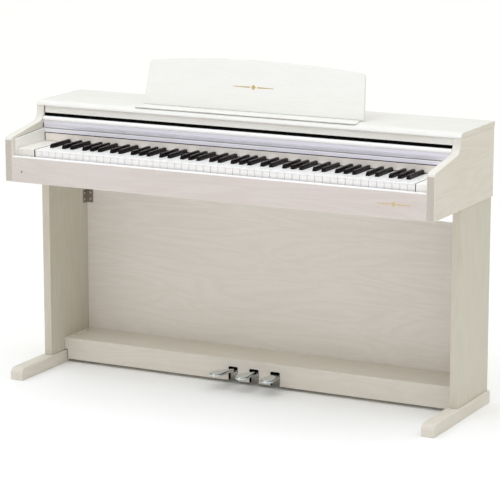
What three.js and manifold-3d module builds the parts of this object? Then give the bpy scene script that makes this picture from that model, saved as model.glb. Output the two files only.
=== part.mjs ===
// A compact cabinet digital piano on its stand: 88 keys, a sliding key cover, a music rest that
// folds back and three pedals. Millimetres, +Z up, +X to the player's right. Inside the model,
// Y runs from 0 at the front of the cabinet to the back; the last group moves the origin to the
// middle of the footprint.
import * as THREE from 'three';
import { mergeVertices } from 'three/addons/utils/BufferGeometryUtils.js';
import Module from 'manifold-3d';

const wasm = await Module();
wasm.setup();

// ---------------------------------------------------------------- driving dimensions
const GAP = 0.3; // clearance between pieces that must not touch
const FIT = 0.1; // clearance between fixed pieces set into one another
const DEPTH = 435; // whole depth, key slip to the back of the lid

const CABINET_HALF = 690; // to the outer faces of the side panels
const PANEL = 25; // side panels and legs
const CABINET_INSIDE = CABINET_HALF - PANEL;
const CABINET_BOTTOM = 613;
const CABINET_BACK = 432;
const BOARD = 15; // key bed, rear cover, key slip, header and lid

const LID_TOP = 832;
const LID_UNDER = LID_TOP - BOARD;
const LID_OVERHANG = 0.4;
const LID_NOSE_Y = 179; // front of the lid's rounded nose
const LID_NOSE_DEPTH = 24;

const ARM_TOP_FRONT = 746.5; // where the sloping arm would meet the front face
const ARM_SLOPE = Math.tan(THREE.MathUtils.degToRad(9.4));
const ARM_NOSE_RADIUS = 11;
const ARM_FILLET = 30; // hollow curve from the arm up to the lid
const ARM_BACK_Y = 180; // front edge of the side panel above the arm

const HEADER_Y = 184.5; // set back a little from the side panels' front edges
const HEADER_BOTTOM = 796;

const SLIP_TOP = 688;
const LAMP_X = -634;
const LAMP_Z = 645;
const LAMP_RADIUS = 2.5;
const LAMP_RECESS = 1;

const RUNNER_SLOPE = Math.tan(THREE.MathUtils.degToRad(3.6)); // the key cover's track
const RUNNER_TOP = 740.2; // track height carried forward to Y 0
const RUNNER_FRONT = 16;
const RUNNER_BACK = 372;
const RUNNER_BOTTOM = 680;
const RUNNER_NOSE = 9;
const RUNNER_THICK = 4.7;
const RUNNER_INSIDE = CABINET_INSIDE - RUNNER_THICK;

const COVER_FRONT = 184.5; // front edge of the key cover's board
const COVER_LENGTH = 184;
const COVER_THICK = 8;
const COVER_CLEARANCE = 0.5; // above its track
const LIP_JOINT = 1; // how far the lip reaches up into the board
const COVER_HALF = CABINET_INSIDE - 0.6;
const LIP_FRONT = 175;
const LIP_BOTTOM = 740.5;
const LIP_TOP = 750;
const LIP_BACK = 190;
const LIP_HALF = RUNNER_INSIDE - 0.5;

const FLAP_HALF = COVER_HALF;
const FLAP_BOTTOM = 752.2;
const FLAP_TOP = 786.5;
const FLAP_BACK = 184;
const FLAP_FRONT = 176.3;
const FLAP_CHAMFER = 1.5;
const NOSING_FRONT = 173.6; // the rounded strip along the flap's top
const NOSING_BOTTOM = 775;
const NOSING_RADIUS = 8.5;
const TRIM_THICK = 1;

const NAME_BOARD_Y = 176;
const NAME_BOARD_THICK = 12;
const NAME_BOARD_BOTTOM = 714;
const NAME_BOARD_TOP = 737.5;
const FELT_Y = 178;
const FELT_THICK = 9;
const FELT_BOTTOM = 712.3;

const KEY_PITCH = 23.5;
const KEY_CLEARANCE = 1; // between two white keys
const WHITE_COUNT = 52;
const KEYS_LEFT = -598; // left edge of the lowest key
const KEYS_RIGHT = KEYS_LEFT + WHITE_COUNT * KEY_PITCH;
const KEY_FRONT = 18.7;
const WHITE_TOP = 711.8;
const WHITE_BOTTOM = 690;
const WHITE_BACK = 200;
// The bar behind the white keys; its inset keeps it within the narrow tails of the end keys.
const WHITE_BAR = { front: 196, back: 236, top: 697, inset: 4 };
const SLOT_FRONT = 67; // front of the cut-outs for the black keys
const SLOT_WIDTH = 13.2;
const BLACK_FRONT = 68.7;
const BLACK_BACK = 171;
const BLACK_TOP = 723.5;
const BLACK_BOTTOM = 699;
const BLACK_WIDTH = 10.6;
const BLACK_STEM = { bottom: 702, top: 710.5, back: 244 };
const BLACK_BAR_FRONT = 226;
const BLACK_NOSE = { low: 1, rise: [3, 2.5], round: 6 }; // sloping front end
const BLACK_TAIL = { drop: 1, length: 2 };
const BLOCK_TOP = WHITE_TOP;
const BLOCK_BACK = 175;
const KEY_FRAME = { front: 30, back: 285, thick: 5, inset: 1, stopRail: [34, 44], stopTop: 676,
  hingeRail: 250, top: 712 };

const SPEAKER_X = 450;
const SPEAKER_Y = 350;
const SPEAKER_RADIUS = 60;
const SOUND_HOLE_RADIUS = 50;
// Radius and height along the speaker's cone, rim, basket and magnet.
const SPEAKER_PROFILE = [[0, 26], [14, 26], [40, 4], [SOUND_HOLE_RADIUS, 3], [SOUND_HOLE_RADIUS, 0],
  [SPEAKER_RADIUS, 0], [SPEAKER_RADIUS, 3], [30, 30], [34, 30], [34, 48], [0, 48]];

const JACK_PLATE = { left: 380, width: 120, bottom: 650, height: 46, thick: 3 };
const POWER_INLET = { from: 20, radius: 5.5 };
const AUDIO_SOCKETS = { from: [46, 66], radius: 4.5 };
const DATA_SOCKET = { from: 84, width: 20, height: 10 };
const MAIN_BOARD = { half: 180, front: 305, back: 400, rise: 8, thick: 1.6, inset: 10, post: 8 };
const CHIP_HEIGHT = 3;
const CHIPS = [[-90, 340, 34, 34], [-20, 350, 28, 28], [60, 345, 40, 22], [130, 360, 30, 30]];
const BOARD_SOCKETS = { x: [-150, -110, -70], y: 310, width: 24, depth: 8, height: 9 };

const LEG_HALF = 687;
const LEG_FRONT = 196.5;
const LEG_BACK = 425.8;
const FOOT_OUT = 694.6;
const FOOT_WIDTH = 40.8;
const FOOT_FRONT = 11.7;
const FOOT_BACK = 429;
const FOOT_HEIGHT = 37;
const FOOT_TOE_RADIUS = 19;

const LEG_INSIDE = LEG_HALF - PANEL;
const BACK_PANEL_Y = 421;
const BACK_PANEL_THICK = 9;
const BACK_PANEL_BOTTOM = 45;
const BACK_PANEL_TOP = 526;

const BRACKET = { leaf: 26, width: 22.5, bottom: 481, height: 42, thick: 2 };

const BOX_FRONT = 272;
const BOX_BOTTOM = 10;
const BOX_TOP = 77;
const BOX_BOARD = 12;
const BOX_CUT = { half: 650.6, top: 40.4, radius: 4 }; // lower corners, clear of the feet
const PEDAL_PITCH = 70.5;
const PEDAL_SLOT = { width: 31, top: 53, radius: 4 };
const PEDAL_THICK = 9;
const PEDAL_SPLAY = 15; // the outer pedals' paddles stand this far outward of their levers
const PEDAL_BEND = { front: 195, back: 268 };
const AXLE_Y = 345;
const AXLE_Z = 41;
const AXLE_RADIUS = 4;
const AXLE_HALF = 112;
const HUB_RADIUS = 9;
const HUB_HALF = 11;
const BEARING_CLEARANCE = 0.08;
const ROUND_STEPS = 24;
const CARRIER = { half: 108, thick: 3, front: 325, back: 365, low: 30 };

const REST_X = 5; // middle of the music rest
const REST_HALF = 360;
const REST_TAPER = 7.5; // each side leans in by this much at the top
const REST_SIDE_HEIGHT = 140;
const REST_ARCH = 155; // height at the middle of the arched top
const REST_CORNER = 13;
const REST_THICK = 9.5;
const REST_LEAN = THREE.MathUtils.degToRad(11.6);
const REST_FOOT = { y: 244, z: 835.2 }; // lower front edge of the board
const LEDGE = { half: 361, front: 187, back: 243.4, taper: 12, corner: 10, thick: 3.6 };
const REST_HINGE = { y: 257.6, z: 835.4, radius: 2.4, half: 30, web: 1, leafBack: 276, leafThick: 1.5 };
const REST_HINGE_X = 200;

// ---------------------------------------------------------------- materials
function material(color, roughness, metalness = 0) {
  return new THREE.MeshStandardMaterial({ color, roughness, metalness });
}
const foil = material(0xe4ddd0, 0.55);
const whiteKey = material(0xf4f2ec, 0.3);
const blackKey = material(0x141312, 0.25);
const redFelt = material(0x6e1420, 0.95);
const silverTrim = material(0xcfcbd6, 0.35, 0.7);
const chrome = material(0xd4d6d6, 0.12, 1);
const steel = material(0x8f9092, 0.45, 0.9);
const blackPlastic = material(0x1b1b1c, 0.6);
const speakerPaper = material(0x232323, 0.8);
const circuitGreen = material(0x1f4a32, 0.5);
const lampGlass = material(0x33201c, 0.2);
const chassis = material(0x5a5a58, 0.6);

// ---------------------------------------------------------------- shape helpers
function outline(points) {
  return new THREE.Shape(points.map(([a, b]) => new THREE.Vector2(a, b)));
}

function extrude(shape, length) {
  return new THREE.ExtrudeGeometry(shape, { depth: length, bevelEnabled: false, curveSegments: 6 });
}

// A side outline in (Y, Z), carried from x0 to x1.
function extrudeX(shape, x0, x1) {
  const turn = new THREE.Matrix4().makeBasis(
    new THREE.Vector3(0, 1, 0), new THREE.Vector3(0, 0, 1), new THREE.Vector3(1, 0, 0));
  return extrude(shape, x1 - x0).applyMatrix4(turn).translate(x0, 0, 0);
}

// A front outline in (X, Z), carried from y0 to y1.
function extrudeY(shape, y0, y1) {
  return extrude(shape, y1 - y0).rotateX(Math.PI / 2).translate(0, y1, 0);
}

// A plan outline in (X, Y), carried from z0 to z1.
function extrudeZ(shape, z0, z1) {
  return extrude(shape, z1 - z0).translate(0, 0, z0);
}

function box(x0, x1, y0, y1, z0, z1) {
  const solid = new THREE.BoxGeometry(x1 - x0, y1 - y0, z1 - z0);
  return solid.translate((x0 + x1) / 2, (y0 + y1) / 2, (z0 + z1) / 2);
}

function rodX(x0, x1, y, z, radius) {
  const rod = new THREE.CylinderGeometry(radius, radius, x1 - x0, ROUND_STEPS);
  return rod.rotateZ(-Math.PI / 2).translate((x0 + x1) / 2, y, z);
}

function circleHole(x, y, radius) {
  return new THREE.Path().absarc(x, y, radius, 0, Math.PI * 2, true);
}

function rectangleHole(x0, x1, z0, z1) {
  return new THREE.Path([[x0, z0], [x0, z1], [x1, z1], [x1, z0]].map(([a, b]) => new THREE.Vector2(a, b)));
}

// ---------------------------------------------------------------- joins and cuts
function toSolid(geometry) {
  const bare = geometry.clone();
  bare.deleteAttribute('normal');
  bare.deleteAttribute('uv');
  const merged = mergeVertices(bare, 1e-4);
  return new wasm.Manifold(new wasm.Mesh({
    numProp: 3,
    vertProperties: merged.attributes.position.array,
    triVerts: Uint32Array.from(merged.index.array),
  }));
}

function toGeometry(solid) {
  const mesh = solid.getMesh();
  const geometry = new THREE.BufferGeometry();
  geometry.setAttribute('position', new THREE.BufferAttribute(mesh.vertProperties, 3));
  geometry.setIndex(new THREE.BufferAttribute(mesh.triVerts, 1));
  return geometry;
}

function join(first, ...others) {
  return toGeometry(others.reduce((whole, next) => whole.add(toSolid(next)), toSolid(first)));
}

function cut(first, ...others) {
  return toGeometry(others.reduce((whole, next) => whole.subtract(toSolid(next)), toSolid(first)));
}

// ---------------------------------------------------------------- the assembly
const piano = new THREE.Group();
const body = new THREE.Group();
body.position.y = -DEPTH / 2;
piano.add(body);

function add(name, geometry, finish, parent = body) {
  const mesh = new THREE.Mesh(geometry, finish);
  mesh.name = name;
  parent.add(mesh);
  return mesh;
}

// The two sides of the piano, as a name and the sign of X.
const SIDES = [['left', -1], ['right', 1]];

// From the inner to the outer distance from the middle, on the side given by sign.
function span(sign, inner, outer) {
  return sign < 0 ? [-outer, -inner] : [inner, outer];
}

// ---------------------------------------------------------------- stand
function addLegs() {
  const toe = new THREE.Shape();
  toe.moveTo(FOOT_FRONT, 0);
  toe.lineTo(FOOT_BACK, 0);
  toe.lineTo(FOOT_BACK, FOOT_HEIGHT);
  toe.lineTo(FOOT_FRONT + FOOT_TOE_RADIUS, FOOT_HEIGHT);
  toe.absarc(FOOT_FRONT + FOOT_TOE_RADIUS, FOOT_HEIGHT - FOOT_TOE_RADIUS, FOOT_TOE_RADIUS,
    Math.PI / 2, Math.PI, false);
  for (const [side, sign] of SIDES) {
    const [legLow, legHigh] = span(sign, LEG_INSIDE, LEG_HALF);
    const [footLow, footHigh] = span(sign, FOOT_OUT - FOOT_WIDTH, FOOT_OUT);
    add(`${side}_leg`, box(legLow, legHigh, LEG_FRONT, LEG_BACK, FOOT_HEIGHT, CABINET_BOTTOM), foil);
    add(`${side}_foot`, extrudeX(toe, footLow, footHigh), foil);
  }
}

function addBackPanel() {
  const back = BACK_PANEL_Y + BACK_PANEL_THICK;
  const bottom = BACK_PANEL_BOTTOM;
  add('back_panel', box(-LEG_INSIDE, LEG_INSIDE, BACK_PANEL_Y, back, bottom, BACK_PANEL_TOP), foil);
}

function addCornerBrackets() {
  const { leaf, width, bottom, height, thick } = BRACKET;
  for (const [side, sign] of SIDES) {
    const angle = outline([
      [LEG_INSIDE, BACK_PANEL_Y], [LEG_INSIDE - width, BACK_PANEL_Y],
      [LEG_INSIDE - width, BACK_PANEL_Y - thick], [LEG_INSIDE - thick, BACK_PANEL_Y - thick],
      [LEG_INSIDE - thick, BACK_PANEL_Y - leaf], [LEG_INSIDE, BACK_PANEL_Y - leaf],
    ].map(([x, y]) => [x * sign, y]));
    add(`${side}_corner_bracket`, extrudeZ(angle, bottom, bottom + height), steel);
  }
}

// ---------------------------------------------------------------- pedal box
function pedalCentres() {
  return [-PEDAL_PITCH, 0, PEDAL_PITCH];
}

function addPedalBox() {
  const { half, top, radius } = BOX_CUT;
  const face = new THREE.Shape();
  face.moveTo(-LEG_INSIDE, BOX_TOP);
  face.lineTo(-LEG_INSIDE, top);
  face.lineTo(-half - radius, top);
  face.absarc(-half - radius, top - radius, radius, Math.PI / 2, 0, true);
  face.lineTo(-half, BOX_BOTTOM);
  for (const x of pedalCentres()) {
    const left = x - PEDAL_SLOT.width / 2;
    const right = x + PEDAL_SLOT.width / 2;
    const shoulder = PEDAL_SLOT.top - PEDAL_SLOT.radius;
    face.lineTo(left, BOX_BOTTOM);
    face.lineTo(left, shoulder);
    face.absarc(left + PEDAL_SLOT.radius, shoulder, PEDAL_SLOT.radius, Math.PI, Math.PI / 2, true);
    face.lineTo(right - PEDAL_SLOT.radius, PEDAL_SLOT.top);
    face.absarc(right - PEDAL_SLOT.radius, shoulder, PEDAL_SLOT.radius, Math.PI / 2, 0, true);
    face.lineTo(right, BOX_BOTTOM);
  }
  face.lineTo(half, BOX_BOTTOM);
  face.lineTo(half, top - radius);
  face.absarc(half + radius, top - radius, radius, Math.PI, Math.PI / 2, true);
  face.lineTo(LEG_INSIDE, top);
  face.lineTo(LEG_INSIDE, BOX_TOP);
  add('pedal_box_front', extrudeY(face, BOX_FRONT, BOX_FRONT + BOX_BOARD), foil);
  const inner = BOX_FRONT + BOX_BOARD;
  const under = BOX_TOP - BOX_BOARD;
  add('pedal_box_top', box(-LEG_INSIDE, LEG_INSIDE, inner, BACK_PANEL_Y, under, BOX_TOP), foil);
}

// A strip lofted through stations [middle x, y, half width, top height], front to back.
function loftedStrip(stations, thick) {
  const corners = stations.flatMap(([x, y, half, top]) => [
    [x - half, y, top - thick], [x + half, y, top - thick], [x + half, y, top], [x - half, y, top]].flat());
  const faces = [0, 1, 2, 0, 2, 3];
  for (let i = 0; i < stations.length - 1; i += 1) {
    for (let side = 0; side < 4; side += 1) {
      const a = 4 * i + side;
      const b = 4 * i + (side + 1) % 4;
      faces.push(a, a + 4, b + 4, a, b + 4, b);
    }
  }
  const last = 4 * (stations.length - 1);
  faces.push(last, last + 2, last + 1, last, last + 3, last + 2);
  const strip = new THREE.BufferGeometry();
  strip.setAttribute('position', new THREE.BufferAttribute(new Float32Array(corners), 3));
  strip.setIndex(faces);
  return strip;
}

// Seen from the side the lever leaves the box low and rises to a broad, round-ended paddle.
// The paddle swings sideways by the splay on its way forward.
function pedalStations(splay) {
  const stations = [[176, 8, 51], [178, 12.5, 51.6], [183, 17, 52.2], [190, 19.8, 52.6], [200, 20.5, 52.8],
    [212, 19.5, 52.6], [226, 17, 52], [240, 13.5, 50.8], [254, 10.6, 49], [268, 9, 47], [284, 8.6, 45.8],
    [304, 8.6, 45.2], [338, 9, 44.4]];
  return stations.map(([y, half, top]) => [
    splay * (1 - THREE.MathUtils.smoothstep(y, PEDAL_BEND.front, PEDAL_BEND.back)), y, half, top]);
}

function boreRadius() {
  return (AXLE_RADIUS + BEARING_CLEARANCE) / Math.cos(Math.PI / ROUND_STEPS);
}

function addPedals() {
  const names = ['soft_pedal', 'sostenuto_pedal', 'damper_pedal'];
  pedalCentres().forEach((x, i) => {
    const hub = rodX(-HUB_HALF, HUB_HALF, AXLE_Y, AXLE_Z, HUB_RADIUS);
    const bore = rodX(-HUB_HALF - 1, HUB_HALF + 1, AXLE_Y, AXLE_Z, boreRadius());
    const strip = loftedStrip(pedalStations(PEDAL_SPLAY * Math.sign(x)), PEDAL_THICK);
    const lever = cut(join(strip, hub), bore);
    add(names[i], lever, chrome).position.x = x;
  });
}

// The steel carrier hangs under the box top, with a cheek at each end for the axle.
function addPedalCarrier() {
  const { half, thick, front, back, low } = CARRIER;
  const under = BOX_TOP - BOX_BOARD;
  const plate = box(-half, half, front, back, under - thick, under);
  const cheeks = SIDES.map(([, sign]) => {
    const [inner, outer] = span(sign, half - thick, half);
    return box(inner, outer, front, back, low, under);
  });
  const bore = rodX(-half - 1, half + 1, AXLE_Y, AXLE_Z, boreRadius());
  add('pedal_carrier', cut(join(plate, ...cheeks), bore), steel);
  add('pedal_axle', rodX(-AXLE_HALF, AXLE_HALF, AXLE_Y, AXLE_Z, AXLE_RADIUS), steel);
}

// ---------------------------------------------------------------- cabinet
function armHeight(y) {
  return ARM_TOP_FRONT + ARM_SLOPE * y;
}

// Front face, round nose, long shallow slope, hollow curve and the upright under the lid.
function sidePanelShape() {
  const slope = Math.atan(ARM_SLOPE);
  const nose = ARM_NOSE_RADIUS;
  const noseZ = armHeight(nose) - nose / Math.cos(slope);
  const hollowY = ARM_BACK_Y - ARM_FILLET;
  const hollowZ = armHeight(hollowY) + ARM_FILLET / Math.cos(slope);
  const side = new THREE.Shape();
  side.moveTo(0, CABINET_BOTTOM);
  side.lineTo(0, noseZ);
  side.absarc(nose, noseZ, nose, Math.PI, Math.PI / 2 + slope, true);
  side.absarc(hollowY, hollowZ, ARM_FILLET, slope - Math.PI / 2, 0, false);
  side.lineTo(ARM_BACK_Y, LID_UNDER);
  side.lineTo(CABINET_BACK, LID_UNDER);
  side.lineTo(CABINET_BACK, CABINET_BOTTOM);
  return side;
}

function addSidePanels() {
  for (const [side, sign] of SIDES) {
    add(`${side}_side_panel`, extrudeX(sidePanelShape(), ...span(sign, CABINET_INSIDE, CABINET_HALF)), foil);
  }
}

function addLid() {
  const section = new THREE.Shape();
  section.moveTo(LID_NOSE_Y, LID_UNDER);
  section.lineTo(DEPTH, LID_UNDER);
  section.lineTo(DEPTH, LID_TOP);
  section.lineTo(LID_NOSE_Y + LID_NOSE_DEPTH, LID_TOP);
  section.absellipse(LID_NOSE_Y + LID_NOSE_DEPTH, LID_UNDER, LID_NOSE_DEPTH, BOARD,
    Math.PI / 2, Math.PI, false, 0);
  const half = CABINET_HALF + LID_OVERHANG;
  add('top_lid', extrudeX(section, -half, half), foil);
}

function addHeader() {
  const inside = CABINET_INSIDE;
  add('header_board', box(-inside, inside, HEADER_Y, HEADER_Y + BOARD, HEADER_BOTTOM, LID_UNDER), foil);
}

function addKeyBed() {
  const inside = CABINET_INSIDE;
  const rear = CABINET_BACK - BOARD;
  const plan = outline([[-inside, BOARD], [inside, BOARD], [inside, rear], [-inside, rear]]);
  for (const [, sign] of SIDES) {
    plan.holes.push(circleHole(sign * SPEAKER_X, SPEAKER_Y, SOUND_HOLE_RADIUS));
  }
  add('key_bed', extrudeZ(plan, CABINET_BOTTOM, CABINET_BOTTOM + BOARD), foil);
}

function addKeySlip() {
  const inside = CABINET_INSIDE;
  const front = outline([[-inside, CABINET_BOTTOM], [inside, CABINET_BOTTOM],
    [inside, SLIP_TOP], [-inside, SLIP_TOP]]);
  front.holes.push(circleHole(LAMP_X, LAMP_Z, LAMP_RADIUS + GAP));
  add('key_slip', extrudeY(front, 0, BOARD), foil);
  const lamp = new THREE.CylinderGeometry(LAMP_RADIUS, LAMP_RADIUS, BOARD - 2 * LAMP_RECESS, ROUND_STEPS);
  add('power_lamp', lamp.translate(LAMP_X, BOARD / 2, LAMP_Z), lampGlass);
}

function addRearCover() {
  const inside = CABINET_INSIDE;
  const { left, width, bottom, height, thick } = JACK_PLATE;
  const back = outline([[-inside, CABINET_BOTTOM], [inside, CABINET_BOTTOM],
    [inside, LID_UNDER], [-inside, LID_UNDER]]);
  back.holes.push(rectangleHole(left, left + width, bottom, bottom + height));
  add('rear_cover', extrudeY(back, CABINET_BACK - BOARD, CABINET_BACK), foil);

  const plate = outline([
    [left + GAP, bottom + GAP], [left + width - GAP, bottom + GAP],
    [left + width - GAP, bottom + height - GAP], [left + GAP, bottom + height - GAP]]);
  const middle = bottom + height / 2;
  plate.holes.push(circleHole(left + POWER_INLET.from, middle, POWER_INLET.radius));
  for (const from of AUDIO_SOCKETS.from) {
    plate.holes.push(circleHole(left + from, middle, AUDIO_SOCKETS.radius));
  }
  const dataLeft = left + DATA_SOCKET.from;
  plate.holes.push(rectangleHole(dataLeft, dataLeft + DATA_SOCKET.width,
    middle - DATA_SOCKET.height / 2, middle + DATA_SOCKET.height / 2));
  add('jack_plate', extrudeY(plate, CABINET_BACK - thick, CABINET_BACK), blackPlastic);
}

// ---------------------------------------------------------------- key cover
function runnerHeight(y) {
  return RUNNER_TOP + RUNNER_SLOPE * y;
}

function addCheekLinings() {
  const section = new THREE.Shape();
  const nose = RUNNER_NOSE;
  section.moveTo(RUNNER_FRONT, RUNNER_BOTTOM);
  section.lineTo(RUNNER_BACK, RUNNER_BOTTOM);
  section.lineTo(RUNNER_BACK, runnerHeight(RUNNER_BACK));
  section.lineTo(RUNNER_FRONT + nose, runnerHeight(RUNNER_FRONT + nose));
  section.quadraticCurveTo(RUNNER_FRONT, runnerHeight(RUNNER_FRONT),
    RUNNER_FRONT, runnerHeight(RUNNER_FRONT) - nose);
  for (const [side, sign] of SIDES) {
    add(`${side}_cheek_lining`, extrudeX(section, ...span(sign, RUNNER_INSIDE, CABINET_INSIDE)), foil);
  }
}

// A board that slides on the cheek linings, with a lip along its front edge that hangs between them.
function addKeyCover() {
  const rear = COVER_FRONT + COVER_LENGTH;
  const under = (y) => runnerHeight(y) + COVER_CLEARANCE;
  const board = outline([[COVER_FRONT, under(COVER_FRONT)], [rear, under(rear)],
    [rear, under(rear) + COVER_THICK], [COVER_FRONT, under(COVER_FRONT) + COVER_THICK]]);
  const lip = outline([[LIP_FRONT, LIP_BOTTOM], [LIP_BACK, LIP_BOTTOM],
    [LIP_BACK, under(LIP_BACK) + LIP_JOINT], [COVER_FRONT, under(COVER_FRONT) + LIP_JOINT],
    [COVER_FRONT, LIP_TOP], [LIP_FRONT, LIP_TOP]]);
  const panel = join(extrudeX(board, -COVER_HALF, COVER_HALF), extrudeX(lip, -LIP_HALF, LIP_HALF));
  add('key_cover_panel', panel, foil);
}

// The flap stands up along the cover's front edge and lies back on it when the cover is shut.
function addKeyCoverFlap() {
  const section = new THREE.Shape();
  section.moveTo(FLAP_FRONT, FLAP_BOTTOM);
  section.lineTo(FLAP_BACK, FLAP_BOTTOM);
  section.lineTo(FLAP_BACK, FLAP_TOP - FLAP_CHAMFER);
  section.lineTo(FLAP_BACK - FLAP_CHAMFER, FLAP_TOP);
  section.lineTo(NOSING_FRONT + NOSING_RADIUS, FLAP_TOP);
  section.absarc(NOSING_FRONT + NOSING_RADIUS, FLAP_TOP - NOSING_RADIUS, NOSING_RADIUS,
    Math.PI / 2, Math.PI, false);
  section.lineTo(NOSING_FRONT, NOSING_BOTTOM);
  section.lineTo(FLAP_FRONT, NOSING_BOTTOM);
  add('key_cover_flap', extrudeX(section, -FLAP_HALF, FLAP_HALF), foil);

  const trimBack = FLAP_FRONT - FIT;
  const trimTop = NOSING_BOTTOM - 2 * FIT;
  const trim = box(-FLAP_HALF, FLAP_HALF, trimBack - TRIM_THICK, trimBack, FLAP_BOTTOM, trimTop);
  add('key_cover_trim', trim, silverTrim);
}

// ---------------------------------------------------------------- keyboard
function addNameBoard() {
  const half = RUNNER_INSIDE - FIT;
  const back = NAME_BOARD_Y + NAME_BOARD_THICK;
  add('name_board', box(-half, half, NAME_BOARD_Y, back, NAME_BOARD_BOTTOM, NAME_BOARD_TOP), foil);
  const feltTop = NAME_BOARD_BOTTOM - 2 * FIT;
  add('key_felt', box(KEYS_LEFT, KEYS_RIGHT, FELT_Y, FELT_Y + FELT_THICK, FELT_BOTTOM, feltTop), redFelt);
}

function addKeyBlocks() {
  const bed = CABINET_BOTTOM + BOARD;
  const outer = RUNNER_INSIDE - GAP;
  add('left_key_block', box(-outer, KEYS_LEFT - GAP, KEY_FRONT, BLOCK_BACK, bed, BLOCK_TOP), whiteKey);
  add('right_key_block', box(KEYS_RIGHT + GAP, outer, KEY_FRONT, BLOCK_BACK, bed, BLOCK_TOP), whiteKey);
}

// Base plate with a stop rail under the key fronts and a hinge rail behind the keys.
function addKeyFrame() {
  const { front, back, thick, inset, stopRail, stopTop, hingeRail, top } = KEY_FRAME;
  const bed = CABINET_BOTTOM + BOARD;
  const plate = bed + thick;
  const section = outline([[front, bed], [back, bed], [back, top], [hingeRail, top], [hingeRail, plate],
    [stopRail[1], plate], [stopRail[1], stopTop], [stopRail[0], stopTop], [stopRail[0], plate],
    [front, plate]]);
  add('key_frame', extrudeX(section, KEYS_LEFT + inset, KEYS_RIGHT - inset), chassis);
}

// Where each black key stands, as the white key on its left (0 is C) and its shift from the joint.
const BLACK_PLACES = { 'c_sharp': [0, -2.3], 'd_sharp': [1, 2.3], 'f_sharp': [3, -3.2],
  'g_sharp': [4, 0], 'a_sharp': [5, 3.2] };
const WHITE_NAMES = ['c', 'd', 'e', 'f', 'g', 'a', 'b'];

// White keys are counted from the lowest, A of octave 0; C of octave n is number 7n - 5.
function whiteNumber(step, octave) {
  return 7 * octave - 5 + step;
}

function blackCentre(place, octave) {
  const [step, shift] = BLACK_PLACES[place];
  return KEYS_LEFT + KEY_PITCH * (whiteNumber(step, octave) + 1) + shift;
}

function blackExists(place, octave) {
  const left = whiteNumber(BLACK_PLACES[place][0], octave);
  return left >= 0 && left + 1 < WHITE_COUNT;
}

// Plan of one white key, with its corners cut back for the black keys beside it.
function whiteKeyShape(number) {
  const step = (number + 5) % 7;
  const octave = Math.floor((number + 5) / 7);
  let leftBack = KEYS_LEFT + number * KEY_PITCH + KEY_CLEARANCE / 2;
  let rightBack = leftBack + KEY_PITCH - KEY_CLEARANCE;
  const left = leftBack;
  const right = rightBack;
  for (const [place, [low]] of Object.entries(BLACK_PLACES)) {
    const centre = blackCentre(place, octave);
    if (low === step && blackExists(place, octave)) rightBack = centre - SLOT_WIDTH / 2;
    if (low + 1 === step && blackExists(place, octave)) leftBack = centre + SLOT_WIDTH / 2;
  }
  return outline([[left, KEY_FRONT], [right, KEY_FRONT], [right, SLOT_FRONT], [rightBack, SLOT_FRONT],
    [rightBack, WHITE_BACK], [leftBack, WHITE_BACK], [leftBack, SLOT_FRONT], [left, SLOT_FRONT]]
    .filter(([x, y], i, all) => i === 0 || x !== all[i - 1][0] || y !== all[i - 1][1]));
}

// One white key, or several neighbours that share the bar behind them.
function whiteKeys(first, last) {
  const left = KEYS_LEFT + first * KEY_PITCH + KEY_CLEARANCE / 2;
  const right = KEYS_LEFT + (last + 1) * KEY_PITCH - KEY_CLEARANCE / 2;
  const keys = [];
  for (let number = first; number <= last; number += 1) {
    keys.push(extrudeZ(whiteKeyShape(number), WHITE_BOTTOM, WHITE_TOP));
  }
  const { front, back, top, inset } = WHITE_BAR;
  return join(box(left + inset, right - inset, front, back, WHITE_BOTTOM, top), ...keys);
}

// One black key, or several that share the bar behind them.
function blackKeys(centres) {
  const { bottom, top, back } = BLACK_STEM;
  const { low, rise, round } = BLACK_NOSE;
  const side = outline([[BLACK_FRONT, BLACK_BOTTOM], [BLACK_BACK, BLACK_BOTTOM], [BLACK_BACK, bottom],
    [back, bottom], [back, top], [BLACK_BACK, top], [BLACK_BACK, BLACK_TOP - BLACK_TAIL.drop],
    [BLACK_BACK - BLACK_TAIL.length, BLACK_TOP], [BLACK_FRONT + round, BLACK_TOP],
    [BLACK_FRONT + rise[0], BLACK_TOP - rise[1]], [BLACK_FRONT, WHITE_TOP + low]]);
  const half = BLACK_WIDTH / 2;
  const keys = centres.map((x) => extrudeX(side, x - half, x + half));
  if (centres.length === 1) return keys[0];
  const bar = box(centres[0], centres[centres.length - 1], BLACK_BAR_FRONT, back, bottom, top);
  return join(bar, ...keys);
}

function blackCentres(firstOctave, lastOctave) {
  const centres = [];
  for (let octave = firstOctave; octave <= lastOctave; octave += 1) {
    for (const place of Object.keys(BLACK_PLACES)) {
      if (blackExists(place, octave)) centres.push(blackCentre(place, octave));
    }
  }
  return centres;
}

// Groups of keys as first and last octave, with the white keys' numbers worked out from them.
function addKeyGroups() {
  const groups = [['bass', 0, 1], ['tenor', 2, 3], ['treble', 5, 6], ['top', 7, 8]];
  for (const [name, low, high] of groups) {
    const first = Math.max(0, whiteNumber(0, low));
    const last = Math.min(WHITE_COUNT - 1, whiteNumber(6, high));
    add(`${name}_white_keys`, whiteKeys(first, last), whiteKey);
    add(`${name}_black_keys`, blackKeys(blackCentres(low, high)), blackKey);
  }
}

function addMiddleOctave() {
  const octave = 4;
  WHITE_NAMES.forEach((name, step) => {
    const number = whiteNumber(step, octave);
    add(`key_${name}${octave}`, whiteKeys(number, number), whiteKey);
  });
  for (const place of Object.keys(BLACK_PLACES)) {
    add(`key_${place}${octave}`, blackKeys([blackCentre(place, octave)]), blackKey);
  }
}

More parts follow.
